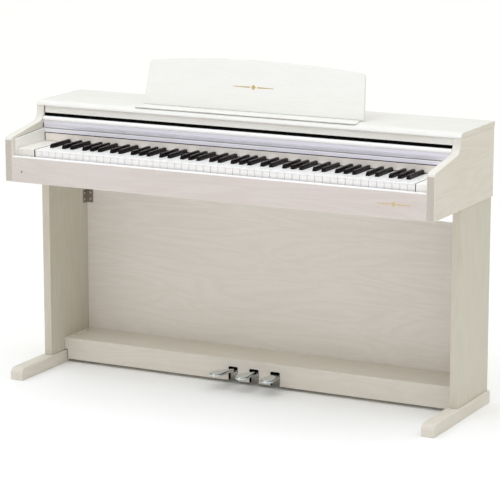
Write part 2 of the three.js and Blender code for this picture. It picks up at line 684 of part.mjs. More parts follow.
// ---------------------------------------------------------------- electronics
// Paper cone in a pressed basket with its magnet on top, facing down through the key bed.
function addSpeakers() {
  const profile = SPEAKER_PROFILE.map(([radius, height]) => new THREE.Vector2(radius, height));
  const bed = CABINET_BOTTOM + BOARD;
  for (const [side, sign] of SIDES) {
    const speaker = new THREE.LatheGeometry(profile, ROUND_STEPS).rotateX(Math.PI / 2);
    add(`${side}_speaker`, speaker.translate(sign * SPEAKER_X, SPEAKER_Y, bed), speakerPaper);
  }
}

// A circuit board on four posts, carrying its main chips and the row of connectors.
function addMainBoard() {
  const { half, front, back, rise, thick, inset, post } = MAIN_BOARD;
  const bed = CABINET_BOTTOM + BOARD;
  const low = bed + rise;
  const high = low + thick;
  const sunk = thick / 3; // how far chips and sockets reach into the board
  const pieces = [];
  for (const x of [-half + inset, half - inset]) {
    for (const y of [front + inset, back - inset]) {
      pieces.push(box(x - post / 2, x + post / 2, y - post / 2, y + post / 2, bed, low + sunk));
    }
  }
  for (const [x, y, width, depth] of CHIPS) {
    pieces.push(box(x, x + width, y, y + depth, high - sunk, high + CHIP_HEIGHT));
  }
  const { y, width, depth, height } = BOARD_SOCKETS;
  for (const x of BOARD_SOCKETS.x) {
    pieces.push(box(x, x + width, y, y + depth, high - sunk, high + height));
  }
  add('main_board', join(box(-half, half, front, back, low, high), ...pieces), circuitGreen);
}

// ---------------------------------------------------------------- music rest
function addMusicLedge() {
  const { half, front, back, taper, corner, thick } = LEDGE;
  const plan = new THREE.Shape();
  plan.moveTo(half - taper, back);
  plan.lineTo(-half + taper, back);
  plan.lineTo(-half, front + corner);
  plan.quadraticCurveTo(-half, front, -half + corner, front);
  plan.lineTo(half - corner, front);
  plan.quadraticCurveTo(half, front, half, front + corner);
  const ledge = extrudeZ(plan, LID_TOP, LID_TOP + thick).translate(REST_X, 0, 0);
  add('music_rest_ledge', ledge, foil);
}

// The board is drawn standing on its lower edge and then leaned back.
function addMusicBoard() {
  const topHalf = REST_HALF - REST_TAPER;
  const face = new THREE.Shape();
  face.moveTo(-REST_HALF, 0);
  face.lineTo(REST_HALF, 0);
  face.lineTo(topHalf, REST_SIDE_HEIGHT - 2 * REST_CORNER);
  face.quadraticCurveTo(topHalf, REST_SIDE_HEIGHT - REST_CORNER / 2,
    topHalf - REST_CORNER, REST_SIDE_HEIGHT - REST_CORNER / 4);
  face.quadraticCurveTo(0, 2 * REST_ARCH - REST_SIDE_HEIGHT, -topHalf + REST_CORNER,
    REST_SIDE_HEIGHT - REST_CORNER / 4);
  face.quadraticCurveTo(-topHalf, REST_SIDE_HEIGHT - REST_CORNER / 2,
    -topHalf, REST_SIDE_HEIGHT - 2 * REST_CORNER);
  const leaned = new THREE.Group();
  leaned.position.set(REST_X, REST_FOOT.y, REST_FOOT.z);
  leaned.rotation.x = -REST_LEAN;
  body.add(leaned);
  add('music_rest_board', extrudeY(face, 0, REST_THICK), foil, leaned);
}

// Fixed hinge leaves on the lid, each with its barrel on the music rest's folding line.
function addRestHinges() {
  const { y, z, radius, half, web, leafBack, leafThick } = REST_HINGE;
  for (const [side, sign] of SIDES) {
    const x = REST_X + sign * REST_HINGE_X;
    const leaf = box(x - half, x + half, y, leafBack, LID_TOP, LID_TOP + leafThick);
    const upright = box(x - half, x + half, y - web, y + web, LID_TOP, z);
    add(`${side}_rest_hinge`, join(leaf, upright, rodX(x - half, x + half, y, z, radius)), steel);
  }
}

addLegs();
addBackPanel();
addCornerBrackets();
addPedalBox();
addPedals();
addPedalCarrier();
addSidePanels();
addLid();
addHeader();
addKeyBed();
addKeySlip();
addRearCover();
addCheekLinings();
addKeyCover();
addKeyCoverFlap();
addNameBoard();
addKeyBlocks();
addKeyFrame();
addKeyGroups();
addMiddleOctave();
addSpeakers();
addMainBoard();
addMusicLedge();
addMusicBoard();
addRestHinges();

export default piano;
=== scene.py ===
"""Looks of the digital piano on its stand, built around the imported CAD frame."""

import math

import bmesh
import bpy
from mathutils import Matrix, Vector


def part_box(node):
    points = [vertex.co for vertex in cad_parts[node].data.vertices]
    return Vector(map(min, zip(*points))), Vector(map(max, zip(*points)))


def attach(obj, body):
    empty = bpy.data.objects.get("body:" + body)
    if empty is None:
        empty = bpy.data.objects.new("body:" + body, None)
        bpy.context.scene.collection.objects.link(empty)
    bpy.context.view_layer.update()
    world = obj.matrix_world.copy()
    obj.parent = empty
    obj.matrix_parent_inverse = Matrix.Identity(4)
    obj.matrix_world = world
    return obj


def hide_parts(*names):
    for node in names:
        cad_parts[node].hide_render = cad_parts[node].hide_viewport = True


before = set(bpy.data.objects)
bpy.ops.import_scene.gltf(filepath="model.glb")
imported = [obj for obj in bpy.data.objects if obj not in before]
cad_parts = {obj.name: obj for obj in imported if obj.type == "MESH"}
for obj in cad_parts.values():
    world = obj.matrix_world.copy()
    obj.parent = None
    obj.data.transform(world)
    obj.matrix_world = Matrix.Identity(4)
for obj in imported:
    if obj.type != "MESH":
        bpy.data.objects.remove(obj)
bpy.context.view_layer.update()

# ---- driving values: millimetres, except for the camera and the lamps, which are in metres
MM = 0.001
SIDES = (("left", -1), ("right", 1))
KEY_PITCH = 23.5
KEY_CLEARANCE = 1.0
WHITE_COUNT = 52
SLOT_WIDTH = 13.2  # cut-out beside a black key
SLOT_SETBACK = 48.3  # from the white key's front to the cut-outs
WHITE_TAIL_BACK = 181.3  # from the white key's front to the end of its tail
KEY_LIP = {"overhang": 1.3, "thick": 3.6, "slope": 0.7}
KEY_SKIRT = 3.4  # the front wall reaches down behind the key slip
BLACK_TOP_WIDTH = 9.0
BLACK_CROWN = 0.12
BLACK_STEM = {"low": 3.0, "thick": 8.0, "inset": 0.5, "front": 100.0}
BLACK_BAR = {"depth": 16.0, "inset": 0.5}
WHITE_BAR = {"inset": 4.0, "low": 0.2, "high": 7.0}  # joins the keys of a group behind the cover
# Where each black key stands: the white key on its left (0 is C) and its shift from their joint.
BLACK_PLACES = {"c_sharp": (0, -2.3), "d_sharp": (1, 2.3), "f_sharp": (3, -3.2), "g_sharp": (4, 0.0),
                "a_sharp": (5, 3.2)}
WHITE_NAMES = ("c", "d", "e", "f", "g", "a", "b")
KEY_GROUPS = {"bass": (0, 1), "tenor": (2, 3), "treble": (5, 6), "top": (7, 8)}
MIDDLE_OCTAVE = 4
# Height of a black key's top along its length, as distances from its front and below its top.
BLACK_PROFILE = [(0.0, 9.6), (0.35, 7.0), (0.9, 4.8), (1.7, 2.9), (2.8, 1.5), (4.3, 0.6), (6.4, 0.12),
                 (9.0, 0.0), (99.0, 0.0), (100.8, 0.25), (101.8, 0.9), (102.3, 2.2)]

# The pedal from its tip backwards: reach, half width and height of its top face.
PEDAL_STATIONS = [(0.0, 4.5, 50.7), (0.8, 8.0, 50.9), (2.2, 12.0, 51.3), (4.6, 15.4, 51.8),
                  (8.0, 18.0, 52.2), (14.0, 20.0, 52.6), (24.0, 20.5, 52.8), (36.0, 19.4, 52.6),
                  (50.0, 16.9, 52.0), (64.0, 13.5, 50.8), (78.0, 10.6, 49.3), (92.0, 9.0, 48.6),
                  (108.0, 8.6, 49.4), (128.0, 8.6, 49.0), (162.0, 9.0, 45.4)]
PEDALS = (("soft_pedal", -1), ("sostenuto_pedal", 0), ("damper_pedal", 1))
PEDAL_PITCH = 70.5
PEDAL_SPLAY = 15.0
PEDAL_BEND = (19.0, 92.0)  # reach over which the lever swings to its line
PEDAL_THICK = 9.0
PEDAL_DARK = (1, 8, *range(11, 17))  # faces of the section in a dark finish: a painted reflection on the paddle's upper rounding, and the underside, dark as cast and as a painted reflection
PEDAL_DEEPEN = (78.0, 108.0, 4.0)  # the lever grows deeper by this much between these reaches
PEDAL_HUB = {"reach": 169.0, "z": 41.0, "radius": 9.0, "bore": 4.2, "half": 11.0}
# Section of the lever as fractions of its half width and thickness, round the outline.
PEDAL_SECTION = [(-1.0, 0.45), (-0.985, 0.72), (-0.93, 0.92), (-0.84, 1.0), (-0.45, 1.06), (0.0, 1.08),
                 (0.45, 1.06), (0.84, 1.0), (0.93, 0.92), (0.985, 0.72), (1.0, 0.45), (0.97, 0.16),
                 (0.88, 0.0), (0.7, 0.22), (0.0, 0.25), (-0.7, 0.22), (-0.88, 0.0), (-0.97, 0.16)]
PEDAL_TIP_GAP = 0.6

ARM_EDGE_RADIUS = 2.0
ARM_NOSE = 720.0  # the arm's front face ends below this height
TRIM_BEAD = 1.4  # how far the flap strip's middle bead stands out
TRIM_LINE = 0.9  # width of the groove between the bands
LIP_STRIP_PROUD = 0.8
LIP_END_GAP = 0.8
LIP_HANG = 2.0  # the strip reaches this far below the cover's lip
# height of the black strip under the cover's lip, a painted shade
LIP_SHADE_FELT = 2.4
LIP_HEIGHT = 9.3
SLOT_LINING = {"set_back": 0.6, "thick": 1.3, "half": 15.5, "top": 53.0, "round": 3.5, "deep": 16.0}
# the black hood and baffle behind each slot, a painted shade
SLOT_SHADE_HOOD = {"low": 37.0, "baffle": 51.0, "high": 60.0}
SHADE_CURTAIN = {"set_back": 1.5, "thick": 2.0, "clear": 1.6, "tuck": 0.5}
# the strip that carries the painted highlight on the key slip's top
SLIP_HIGHLIGHT_STRIP = {"rise": 2.4, "inset": 0.3}
NAME_FOOT = {"inset": 1.5, "deep": 8.0, "lap": 0.3}
# dark strips in the gaps at the boards' ends and beside the keys: painted shade
SEAM = {"width": 2.0, "proud": 0.35, "deep": 0.5, "beside_keys": 1.4, "end_shade": 14.0}
# A dark felt line on top of each cheek lining: painted shade in the gap where the key cover runs.
TRACK_WIDTH = 1.7
TRACK_PROUD = 0.3
TRACK_SLOPE = 3.6
TRACK_START = 9.0
COVER_EDGE = -38.0

# Screw heads: their radii, and how far they stand in from the edges of their boards.
SCREW = {"bracket": 3.6, "box": 4.2, "board": 3.6, "socket": 2.6, "hinge": 2.4}
SCREW_TURN = 0.4  # how the first cross stands, and how far the next is turned from it, in radians
SCREW_STEP = 1.1
BRACKET_SCREWS = {"edge": 11.0, "across": 13.0, "deep": 17.0, "leaf": 2.0}
BOX_SCREWS = {"edge": 17.5, "y": (100.0, 169.5)}
REAR_SCREWS = {"edge": 9.0, "x": range(-640, 641, 256)}
BACK_SCREWS = {"drop": 6.0, "x": range(-600, 601, 300)}

# The sockets' places, from the left end of their plate.
POWER_INLET = 20.0
PHONE_SOCKETS = (46.0, 66.0)
# Their round metal parts: outer and inner radius, and where they start and end behind the plate.
PHONE_BARREL = (4.3, 3.2, -12.0, 0.8)
PHONE_NUT = (6.6, 4.35, 0.05, 0.9)
POWER_RING = (5.3, 4.3, -13.0, -0.3)
POWER_PIN = [(0.9, -13.0), (0.9, -1.2), (0.5, -0.6)]
DATA_SOCKET = {"from": 84.5, "width": 19.0, "half_height": 4.7, "wall": 0.6, "deep": 11.0}
# Section of the speaker from the middle of its dust cap round the cone, basket and magnet.
SPEAKER_SECTION = [(0.2, 17.5), (5.0, 17.9), (9.5, 19.6), (12.6, 22.5), (13.6, 24.0), (15.0, 23.4),
                   (39.5, 5.2), (41.0, 3.9), (43.0, 1.9), (45.2, 1.2), (47.4, 1.9), (49.0, 3.6),
                   (50.2, 3.8), (50.8, 0.5), (52.0, 0.0), (59.2, 0.0), (60.0, 0.6), (60.0, 2.4), (59.2, 3.0),
                   (54.0, 3.4), (51.0, 7.0), (36.0, 29.0), (34.5, 30.0),
                   (35.0, 30.6), (35.0, 47.0), (34.2, 48.0), (0.2, 48.0)]

REST_LEAN = math.radians(11.6)
REST_FOOT = 835.2  # height of the foot of the music rest's board
REST_BOARD = 9.5
REST_LEAF = {"low": 3.0, "high": 22.0, "thick": 1.2, "screw": 14.0, "side": 10.0}
# A small diamond between two bars: half length, half height and place.
ORNAMENT_THICK = 0.25
ORNAMENT_SUNK = 0.3
REST_ORNAMENT = {"half": (66.0, 8.0), "x": 5.0, "rise": 72.0}
SLIP_ORNAMENT = {"half": (50.0, 7.0), "x": 567.5, "z": 652.5}
FLOOR_HALF = 40000.0

CAMERA_PLACE = (3.1974, -6.2192, 1.9120)
CAMERA_YAW = 0.473
CAMERA_PITCH = 0.209
CAMERA_LENS = 175.0

FOIL_LIGHT = (0.815, 0.790, 0.742)
FOIL_DARK = (0.745, 0.710, 0.645)
FOIL_CREAM = (0.83, 0.80, 0.75)
FOIL_RUBBED = (0.87, 0.85, 0.82)
# Tints that make some boards lighter or darker than the plain foil: painted light and shade for how light
# falls on each board.
NO_TINT = (1.0, 1.0, 1.0)
# painted shade: the feet and the pedal box darker, low down under the cabinet
STAND_SHADE_TINT = (0.91, 0.89, 0.85)
# painted light: the lid's top lighter and cooler, as where the sky falls on it; also on the rest ledge and
# on the key slip's rounded top edge
LIT_TOP_TINT = (1.03, 1.05, 1.08)
GRAIN_DEPTH = 0.85  # how strongly the grain shows
# Each board's foil: the axis of its grain, its tint, and where they differ its grain depth and edge tint.
FOILS = {
    "lengthwise": (0, NO_TINT),
    "fore_and_aft": (1, NO_TINT),
    # painted shade: the side panels' side faces darker than their fronts and slopes
    "side_panel": (1, (0.92, 0.895, 0.845)),
    # painted light: the right key block lighter than the left one, which stands in shade
    "right_block": (1, (1.14, 1.16, 1.20)),
    # painted shade: the legs darker, in shade under the cabinet
    "leg": (2, (0.78, 0.76, 0.69)),
    "back": (0, (1.01, 1.01, 1.00)),
    "cheek": (1, (1.10, 1.11, 1.13)),
    # painted light: the name board lifted out of the shade under the cover's lip
    "name_board": (0, (1.12, 1.08, 1.07)),
    "foot": (1, STAND_SHADE_TINT),
    "pedal_box": (0, STAND_SHADE_TINT),
    "lid": (0, LIT_TOP_TINT),
    # painted light: the header lifted out of the shade under the lid's overhang
    "header": (0, (1.02, 1.045, 1.045)),
    # painted light: the leaning music rest lighter
    "music_rest": (0, (1.05, 1.07, 1.08), 0.25),
    # painted shade on the key slip's front face, and a painted highlight on its rounded top edge
    "key_slip": (0, (0.85, 0.80, 0.81), GRAIN_DEPTH, LIT_TOP_TINT),
}
# Foils for some faces only, picked by the way the faces point: lighter and darker copies of the foil,
# painted light and shade.
LIT_AND_SHADED_FOILS = {
    "arm_front_shade": (2, (0.68, 0.65, 0.625)),
    "arm_slope_lit": (1, (0.98, 0.98, 0.98)),
    "slip_top_highlight": (0, (1.16, 1.19, 1.26)),
}

SKY_HORIZON = (0.17, 0.175, 0.08)
SKY_ZENITH = (1.47, 1.47, 1.48)
BACKDROP = (1.0, 1.0, 1.0)  # what the camera sees behind the piano
# Each soft lamp's name, place, aim, size, power in watts and colour.
LAMPS = (
    ("over_keys", (0.0, -0.8, 1.9), (0.0, 0.1, 0.8), (2.4, 0.8), 6.5, (0.82, 1.0, 1.16)),
    ("front_low", (0.6, -5.0, 0.7), (0.0, 0.0, 0.5), (3.5, 1.0), 15.0, (1.02, 0.68, 1.05)),
)


def corners(node):
    """Lowest and highest corner of a CAD node, in millimetres."""
    low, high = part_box(node)
    return low / MM, high / MM


# ---- material building
class Nodes:
    """A node tree, with short calls for the nodes used here."""

    def __init__(self, tree):
        self.tree = tree

    def feed(self, socket, value):
        """Links or sets a socket; a colour gets full alpha."""
        if isinstance(value, bpy.types.NodeSocket):
            self.tree.links.new(value, socket)
        elif socket.type == "RGBA":
            socket.default_value = (*value, 1.0)
        else:
            socket.default_value = value

    def fill(self, node, inputs):
        for name, value in inputs.items():
            self.feed(node.inputs[name.replace("_", " ")], value)

    def add(self, kind, **inputs):
        """A new node with the named inputs, where an underscore stands for a space."""
        node = self.tree.nodes.new(f"ShaderNode{kind}")
        self.fill(node, inputs)
        return node

    def math(self, operation, a, b=0.0):
        node = self.add("Math")
        node.operation = operation
        self.feed(node.inputs[0], a)
        self.feed(node.inputs[1], b)
        return node.outputs[0]

    def remap(self, value, low, high, to_low=0.0, to_high=1.0):
        node = self.add("MapRange", Value=value, From_Min=low, From_Max=high, To_Min=to_low, To_Max=to_high)
        return node.outputs["Result"]

    def spread(self, noise, to_low=0.0, to_high=1.0):
        """The range that most of a noise lies in, carried to another."""
        return self.remap(noise, 0.3, 0.7, to_low, to_high)

    def mix(self, factor, a, b):
        node = self.add("Mix", Factor=factor)
        node.data_type = "RGBA"
        self.feed(node.inputs[6], a)
        self.feed(node.inputs[7], b)
        return node.outputs[2]


class Finish(Nodes):
    """A material's node tree, laid out in the object's own coordinates."""

    def __init__(self, name):
        self.material = bpy.data.materials.new(name)
        self.material.use_nodes = True
        super().__init__(self.material.node_tree)
        self.shader = self.tree.nodes["Principled BSDF"]
        self.coordinates = self.add("TexCoord").outputs["Object"]

    def stretched(self, scale):
        scale = scale if isinstance(scale, tuple) else (scale,) * 3
        return self.add("Mapping", Vector=self.coordinates, Scale=scale).outputs["Vector"]

    def noise(self, scale, detail=3.0, roughness=0.55, distortion=0.0):
        """Noise in cells per metre: one number, or one each along X, Y and Z."""
        node = self.add("TexNoise", Vector=self.stretched(scale), Scale=1.0, Detail=detail,
                        Roughness=roughness, Distortion=distortion)
        return node.outputs["Fac"]

    def island(self):
        return self.add("NewGeometry").outputs["Random Per Island"]

    def bump(self, height, distance, strength=1.0):
        node = self.add("Bump", Strength=strength, Distance=distance, Height=height)
        self.feed(self.shader.inputs["Normal"], node.outputs["Normal"])

    def set(self, **values):
        self.fill(self.shader, values)
        return self.material


def along(axis, lengthwise, across):
    """A noise scale that is fine across the grain and long along it."""
    return tuple(lengthwise if i == axis else across for i in range(3))


def tinted(colour, tint):
    return tuple(c * t for c, t in zip(colour, tint))


def foil(name, axis, tint, depth=GRAIN_DEPTH, worn=0.0):
    """Off-white wood-grain foil: figure, fine streaks and pressed pores along one axis."""
    n = Finish(name)
    figure = n.noise(along(axis, 1.6, 13.0), detail=2.0, distortion=0.6)
    rings = n.math("PINGPONG", n.math("MULTIPLY", figure, 9.0), 0.5)
    rings = n.remap(rings, 0.0, 0.5)
    streaks = n.noise(along(axis, 7.0, 330.0), detail=5.0, roughness=0.65)
    pores = n.remap(n.noise(along(axis, 45.0, 900.0), detail=2.0), 0.60, 0.72)
    cloud = n.noise(2.2, detail=2.0)
    light = tinted(FOIL_LIGHT, tint)
    dark = tinted(FOIL_DARK, tint)
    shade = n.math("ADD", n.math("MULTIPLY", rings, 0.38), n.math("MULTIPLY", streaks, 0.55))
    colour = n.mix(n.remap(shade, 0.2, 0.75, 0.0, depth), light, dark)
    colour = n.mix(n.remap(cloud, 0.35, 0.7, 0.0, 0.4), colour, tinted(FOIL_CREAM, tint))
    colour = n.mix(n.math("MULTIPLY", pores, 0.35), colour, tinted(dark, (0.8, 0.8, 0.8)))
    if worn:
        rub = n.remap(n.noise(60.0, detail=4.0), 0.48, 0.62, 0.0, worn)
        colour = n.mix(rub, colour, tinted(FOIL_RUBBED, tint))
    height = n.math("SUBTRACT", n.math("MULTIPLY", streaks, 0.6), pores)
    n.bump(height, 0.00012, 0.5)
    gloss = n.spread(streaks, 0.40 - 0.1 * worn, 0.54 - 0.1 * worn)
    return n.set(Base_Color=colour, Roughness=gloss, Specular_IOR_Level=0.42)


def foil_pair(name, axis, tint, depth=GRAIN_DEPTH, edge_tint=None):
    """The foil and its slightly rubbed, smoother finish on rounded edges."""
    return [foil(name, axis, tint, depth), foil(name + "_edge", axis, edge_tint or tint, depth, worn=0.5)]


def satin_white():
    """White painted moulding with a faint orange-peel surface."""
    n = Finish("satin_white")
    peel = n.noise((260.0, 420.0, 420.0), detail=2.0)
    cloud = n.noise((9.0, 30.0, 30.0), detail=3.0)
    n.bump(peel, 0.00004, 0.3)
    return n.set(Base_Color=n.mix(cloud, (0.93, 0.92, 0.89), (0.96, 0.955, 0.935)),
                 Roughness=n.spread(peel, 0.26, 0.38), Specular_IOR_Level=0.5)


def key_plastic():
    """Moulded white key tops: soft gloss, faint handling marks and slight differences between keys."""
    n = Finish("white_key_plastic")
    cloud = n.noise((28.0, 12.0, 28.0), detail=3.0)
    colour = n.mix(n.remap(cloud, 0.3, 0.75, 0.0, 0.5), (0.93, 0.92, 0.905), (0.905, 0.89, 0.87))
    colour = n.mix(n.math("MULTIPLY", n.island(), 0.18), colour, (0.88, 0.865, 0.85))
    marks = n.noise((70.0, 25.0, 70.0), detail=5.0, roughness=0.7)
    n.bump(n.noise((400.0, 120.0, 400.0), detail=2.0), 0.00001, 0.15)
    return n.set(Base_Color=colour, Roughness=n.spread(marks, 0.24, 0.36), Specular_IOR_Level=0.45,
                 Coat_Weight=0.1, Coat_Roughness=0.15)


def black_key_plastic():
    """Black keys: dark brown-black with fine lengthwise grain under a soft gloss."""
    n = Finish("black_key_plastic")
    grain = n.noise(along(1, 30.0, 1400.0), detail=4.0, roughness=0.6)
    colour = n.mix(n.remap(grain, 0.35, 0.7), (0.003, 0.002, 0.002), (0.012, 0.006, 0.005))
    colour = n.mix(n.math("MULTIPLY", n.island(), 0.3), colour, (0.008, 0.005, 0.005))
    n.bump(grain, 0.00004, 0.3)
    marks = n.noise((80.0, 40.0, 80.0), detail=4.0)
    return n.set(Base_Color=colour, Roughness=n.spread(marks, 0.20, 0.30), Specular_IOR_Level=0.13)


def felt():
    n = Finish("red_felt")
    fibres = n.noise(1500.0, detail=4.0, roughness=0.7, distortion=0.8)
    tufts = n.noise(240.0, detail=3.0)
    colour = n.mix(fibres, (0.10, 0.006, 0.012), (0.27, 0.022, 0.035))
    colour = n.mix(n.remap(tufts, 0.4, 0.7, 0.0, 0.4), colour, (0.20, 0.02, 0.03))
    n.bump(n.math("ADD", fibres, tufts), 0.0005, 0.7)
    return n.set(Base_Color=colour, Roughness=0.95, Sheen_Weight=0.4, Sheen_Roughness=0.4)


def two_tone(name, noise, colours, rough, relief=None, **values):
    """A finish that wavers between two colours; its gloss and relief follow the same noise."""
    n = Finish(name)
    grain = n.noise(*noise)
    if relief:
        n.bump(grain, *relief)
    gloss = n.spread(grain, *rough) if isinstance(rough, tuple) else rough
    return n.set(Base_Color=n.mix(grain, *colours), Roughness=gloss, **values)


def brushed_silver(name, shade=1.0):
    """Satin silver-lilac strip with fine lines along its length."""
    n = Finish(name)
    lines = n.noise(along(0, 3.0, 3500.0), detail=4.0, roughness=0.7)
    cloud = n.noise((4.0, 40.0, 40.0), detail=2.0)
    tone = (shade,) * 3
    colour = n.mix(n.spread(lines), tinted((0.80, 0.785, 0.86), tone),
                   tinted((0.89, 0.88, 0.95), tone))
    colour = n.mix(n.remap(cloud, 0.4, 0.7, 0.0, 0.25), colour, tinted((0.86, 0.83, 0.87), tone))
    n.bump(lines, 0.00002, 0.35)
    return n.set(Base_Color=colour, Metallic=0.25, Roughness=n.spread(lines, 0.34, 0.46))


def chrome():
    """Polished chrome plate with faint smears and hairline scratches."""
    n = Finish("pedal_chrome")
    smears = n.noise((60.0, 25.0, 60.0), detail=4.0, distortion=0.5)
    scratches = n.remap(n.noise((2600.0, 60.0, 700.0), detail=2.0), 0.66, 0.74)
    colour = n.mix(n.remap(smears, 0.35, 0.7), (0.73, 0.78, 0.785), (0.63, 0.68, 0.685))
    n.bump(scratches, 0.00001, 0.3)
    rough = n.math("ADD", n.remap(smears, 0.3, 0.75, 0.03, 0.09), n.math("MULTIPLY", scratches, 0.08))
    return n.set(Base_Color=colour, Metallic=1.0, Roughness=rough)


def steel(name, bright=1.0):
    """Zinc-plated pressed steel: mottled, satin."""
    n = Finish(name)
    cells = n.add("TexVoronoi", Vector=n.stretched(180.0)).outputs["Color"]
    grey = n.add("RGBToBW", Color=n.mix(0.5, cells, (0.5, 0.5, 0.5))).outputs[0]
    wear = n.noise(90.0, detail=5.0, roughness=0.7)
    bright = (bright,) * 3
    light = tinted((0.38, 0.35, 0.31), bright)
    dark = tinted((0.25, 0.225, 0.19), bright)
    colour = n.mix(n.spread(grey), light, dark)
    n.bump(wear, 0.00005, 0.4)
    return n.set(Base_Color=colour, Metallic=0.9, Roughness=n.spread(wear, 0.32, 0.50))


def moulded(name, colour, rough=0.55):
    """Plastic with a fine spark-eroded texture."""
    n = Finish(name)
    grit = n.noise(1800.0, detail=3.0, roughness=0.7)
    cloud = n.noise(25.0, detail=3.0)
    lighter = tuple(c * 1.5 + 0.004 for c in colour)
    n.bump(grit, 0.00008, 0.5)
    return n.set(Base_Color=n.mix(cloud, colour, lighter),
                 Roughness=n.spread(cloud, rough - 0.07, rough + 0.08))


def circuit():
    """Green lacquered board with paler tracks."""
    n = Finish("circuit_board")
    weave = n.noise((1200.0, 1200.0, 200.0), detail=3.0)
    tracks = n.remap(n.noise((300.0, 22.0, 20.0), detail=1.0), 0.52, 0.54)
    colour = n.mix(tracks, (0.012, 0.075, 0.035), (0.03, 0.14, 0.06))
    n.bump(n.math("ADD", tracks, n.math("MULTIPLY", weave, 0.2)), 0.00006, 0.5)
    return n.set(Base_Color=colour, Roughness=n.spread(weave, 0.25, 0.4))


FOIL = {name: foil_pair(f"foil_{name}", *finish) for name, finish in FOILS.items()}
LIT_AND_SHADED_FOIL = {name: foil(f"foil_{name}", *finish) for name, finish in LIT_AND_SHADED_FOILS.items()}
SMOOTH_WHITE = key_plastic()
GLOSS_BLACK = black_key_plastic()
RED_FELT = felt()
SILVER = brushed_silver("silver_trim")
# painted light and shade: a darker copy of the silver for the flap's lower band, a lighter one for the
# cover's lip
SILVER_PAINTED_SHADE = brushed_silver("silver_trim_painted_shade", 0.96)
SILVER_LIP_LIT = brushed_silver("silver_lip_lit", 1.04)
PAINTED_WHITE = satin_white()
CHROME = chrome()
STEEL = steel("bracket_steel")
SCREW_STEEL = steel("screw_steel", 2.0)
BLACK_PLASTIC = moulded("black_plastic", (0.02, 0.02, 0.021))
BLACK_FELT = two_tone("black_felt", (1500.0, 4.0, 0.7, 0.8), ((0.001, 0.001, 0.001), (0.004, 0.004, 0.004)),
                      0.95, (0.0004, 0.6), Specular_IOR_Level=0.05)
DARK_CAST_AND_REFLECTION = moulded("dark_underside_and_reflection", (0.012, 0.012, 0.012), 0.7)
CHASSIS = moulded("chassis_plastic", (0.11, 0.11, 0.108))
SPEAKER_PAPER = two_tone("speaker_paper", (700.0, 5.0, 0.75, 1.0),
                         ((0.014, 0.014, 0.015), (0.05, 0.05, 0.052)), 0.85, (0.0003, 0.6))
CIRCUIT = circuit()
GOLD = two_tone("gold_print", (1600.0,), ((0.58, 0.43, 0.16), (0.72, 0.57, 0.27)), (0.32, 0.5),
                (0.00002, 0.4), Metallic=0.6)
LENS = two_tone("lamp_lens", (500.0,), ((0.05, 0.015, 0.015), (0.11, 0.03, 0.028)), (0.12, 0.22),
                Coat_Weight=0.5)
FLOOR_PAINT = two_tone("studio_floor", (0.4, 2.0), ((0.975, 0.975, 0.975), (0.985, 0.985, 0.985)), 0.9,
                       Specular_IOR_Level=0.1)


# ---- mesh building
def linked(name, data):
    """A new object, linked into the scene."""
    thing = bpy.data.objects.new(name, data)
    bpy.context.scene.collection.objects.link(thing)
    return thing


def make_object(name, mesh, materials, body, replaces=()):
    """Puts a mesh into the scene as a piece that rides on a body."""
    piece = linked(name, mesh)
    for material in materials:
        mesh.materials.append(material)
    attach(piece, body)
    if replaces:
        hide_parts(*replaces)
    return piece


def smooth(piece):
    for polygon in piece.data.polygons:
        polygon.use_smooth = True


def round_edges(piece, radius, segments=3, angle=30.0):
    """Rounds every edge sharper than the angle; a second material goes on the rounded strip."""
    bevel = piece.modifiers.new("rounded_edges", "BEVEL")
    bevel.width = radius * MM
    bevel.segments = segments
    bevel.limit_method = "ANGLE"
    bevel.angle_limit = math.radians(angle)
    bevel.miter_outer = "MITER_ARC"
    bevel.use_clamp_overlap = True
    if len(piece.data.materials) > 1:
        bevel.material = 1
    smooth(piece)
    weighted = piece.modifiers.new("even_shading", "WEIGHTED_NORMAL")
    weighted.keep_sharp = True
    weighted.weight = 90


def rounded(name, shape, materials, body, radius, segments=2, angle=30.0, replaces=()):
    """Puts a shape into the scene as a piece with rounded edges."""
    piece = make_object(name, shape.mesh(name), materials, body, replaces)
    round_edges(piece, radius, segments, angle)
    return piece


def mesh_of(name, points, faces):
    """A mesh from points in millimetres, with its faces turned outward."""
    mesh = bpy.data.meshes.new(name)
    mesh.from_pydata([(x * MM, y * MM, z * MM) for x, y, z in points], [], faces)
    shape = bmesh.new()
    shape.from_mesh(mesh)
    bmesh.ops.recalc_face_normals(shape, faces=shape.faces)
    shape.to_mesh(mesh)
    shape.free()
    return mesh


def spokes(axis, steps):
    """The unit vector along an axis, and unit vectors all round it."""
    axis = Vector(axis).normalized()
    side = axis.orthogonal().normalized()
    other = axis.cross(side)
    angles = [2 * math.pi * k / steps for k in range(steps)]
    return axis, [side * math.cos(angle) + other * math.sin(angle) for angle in angles]


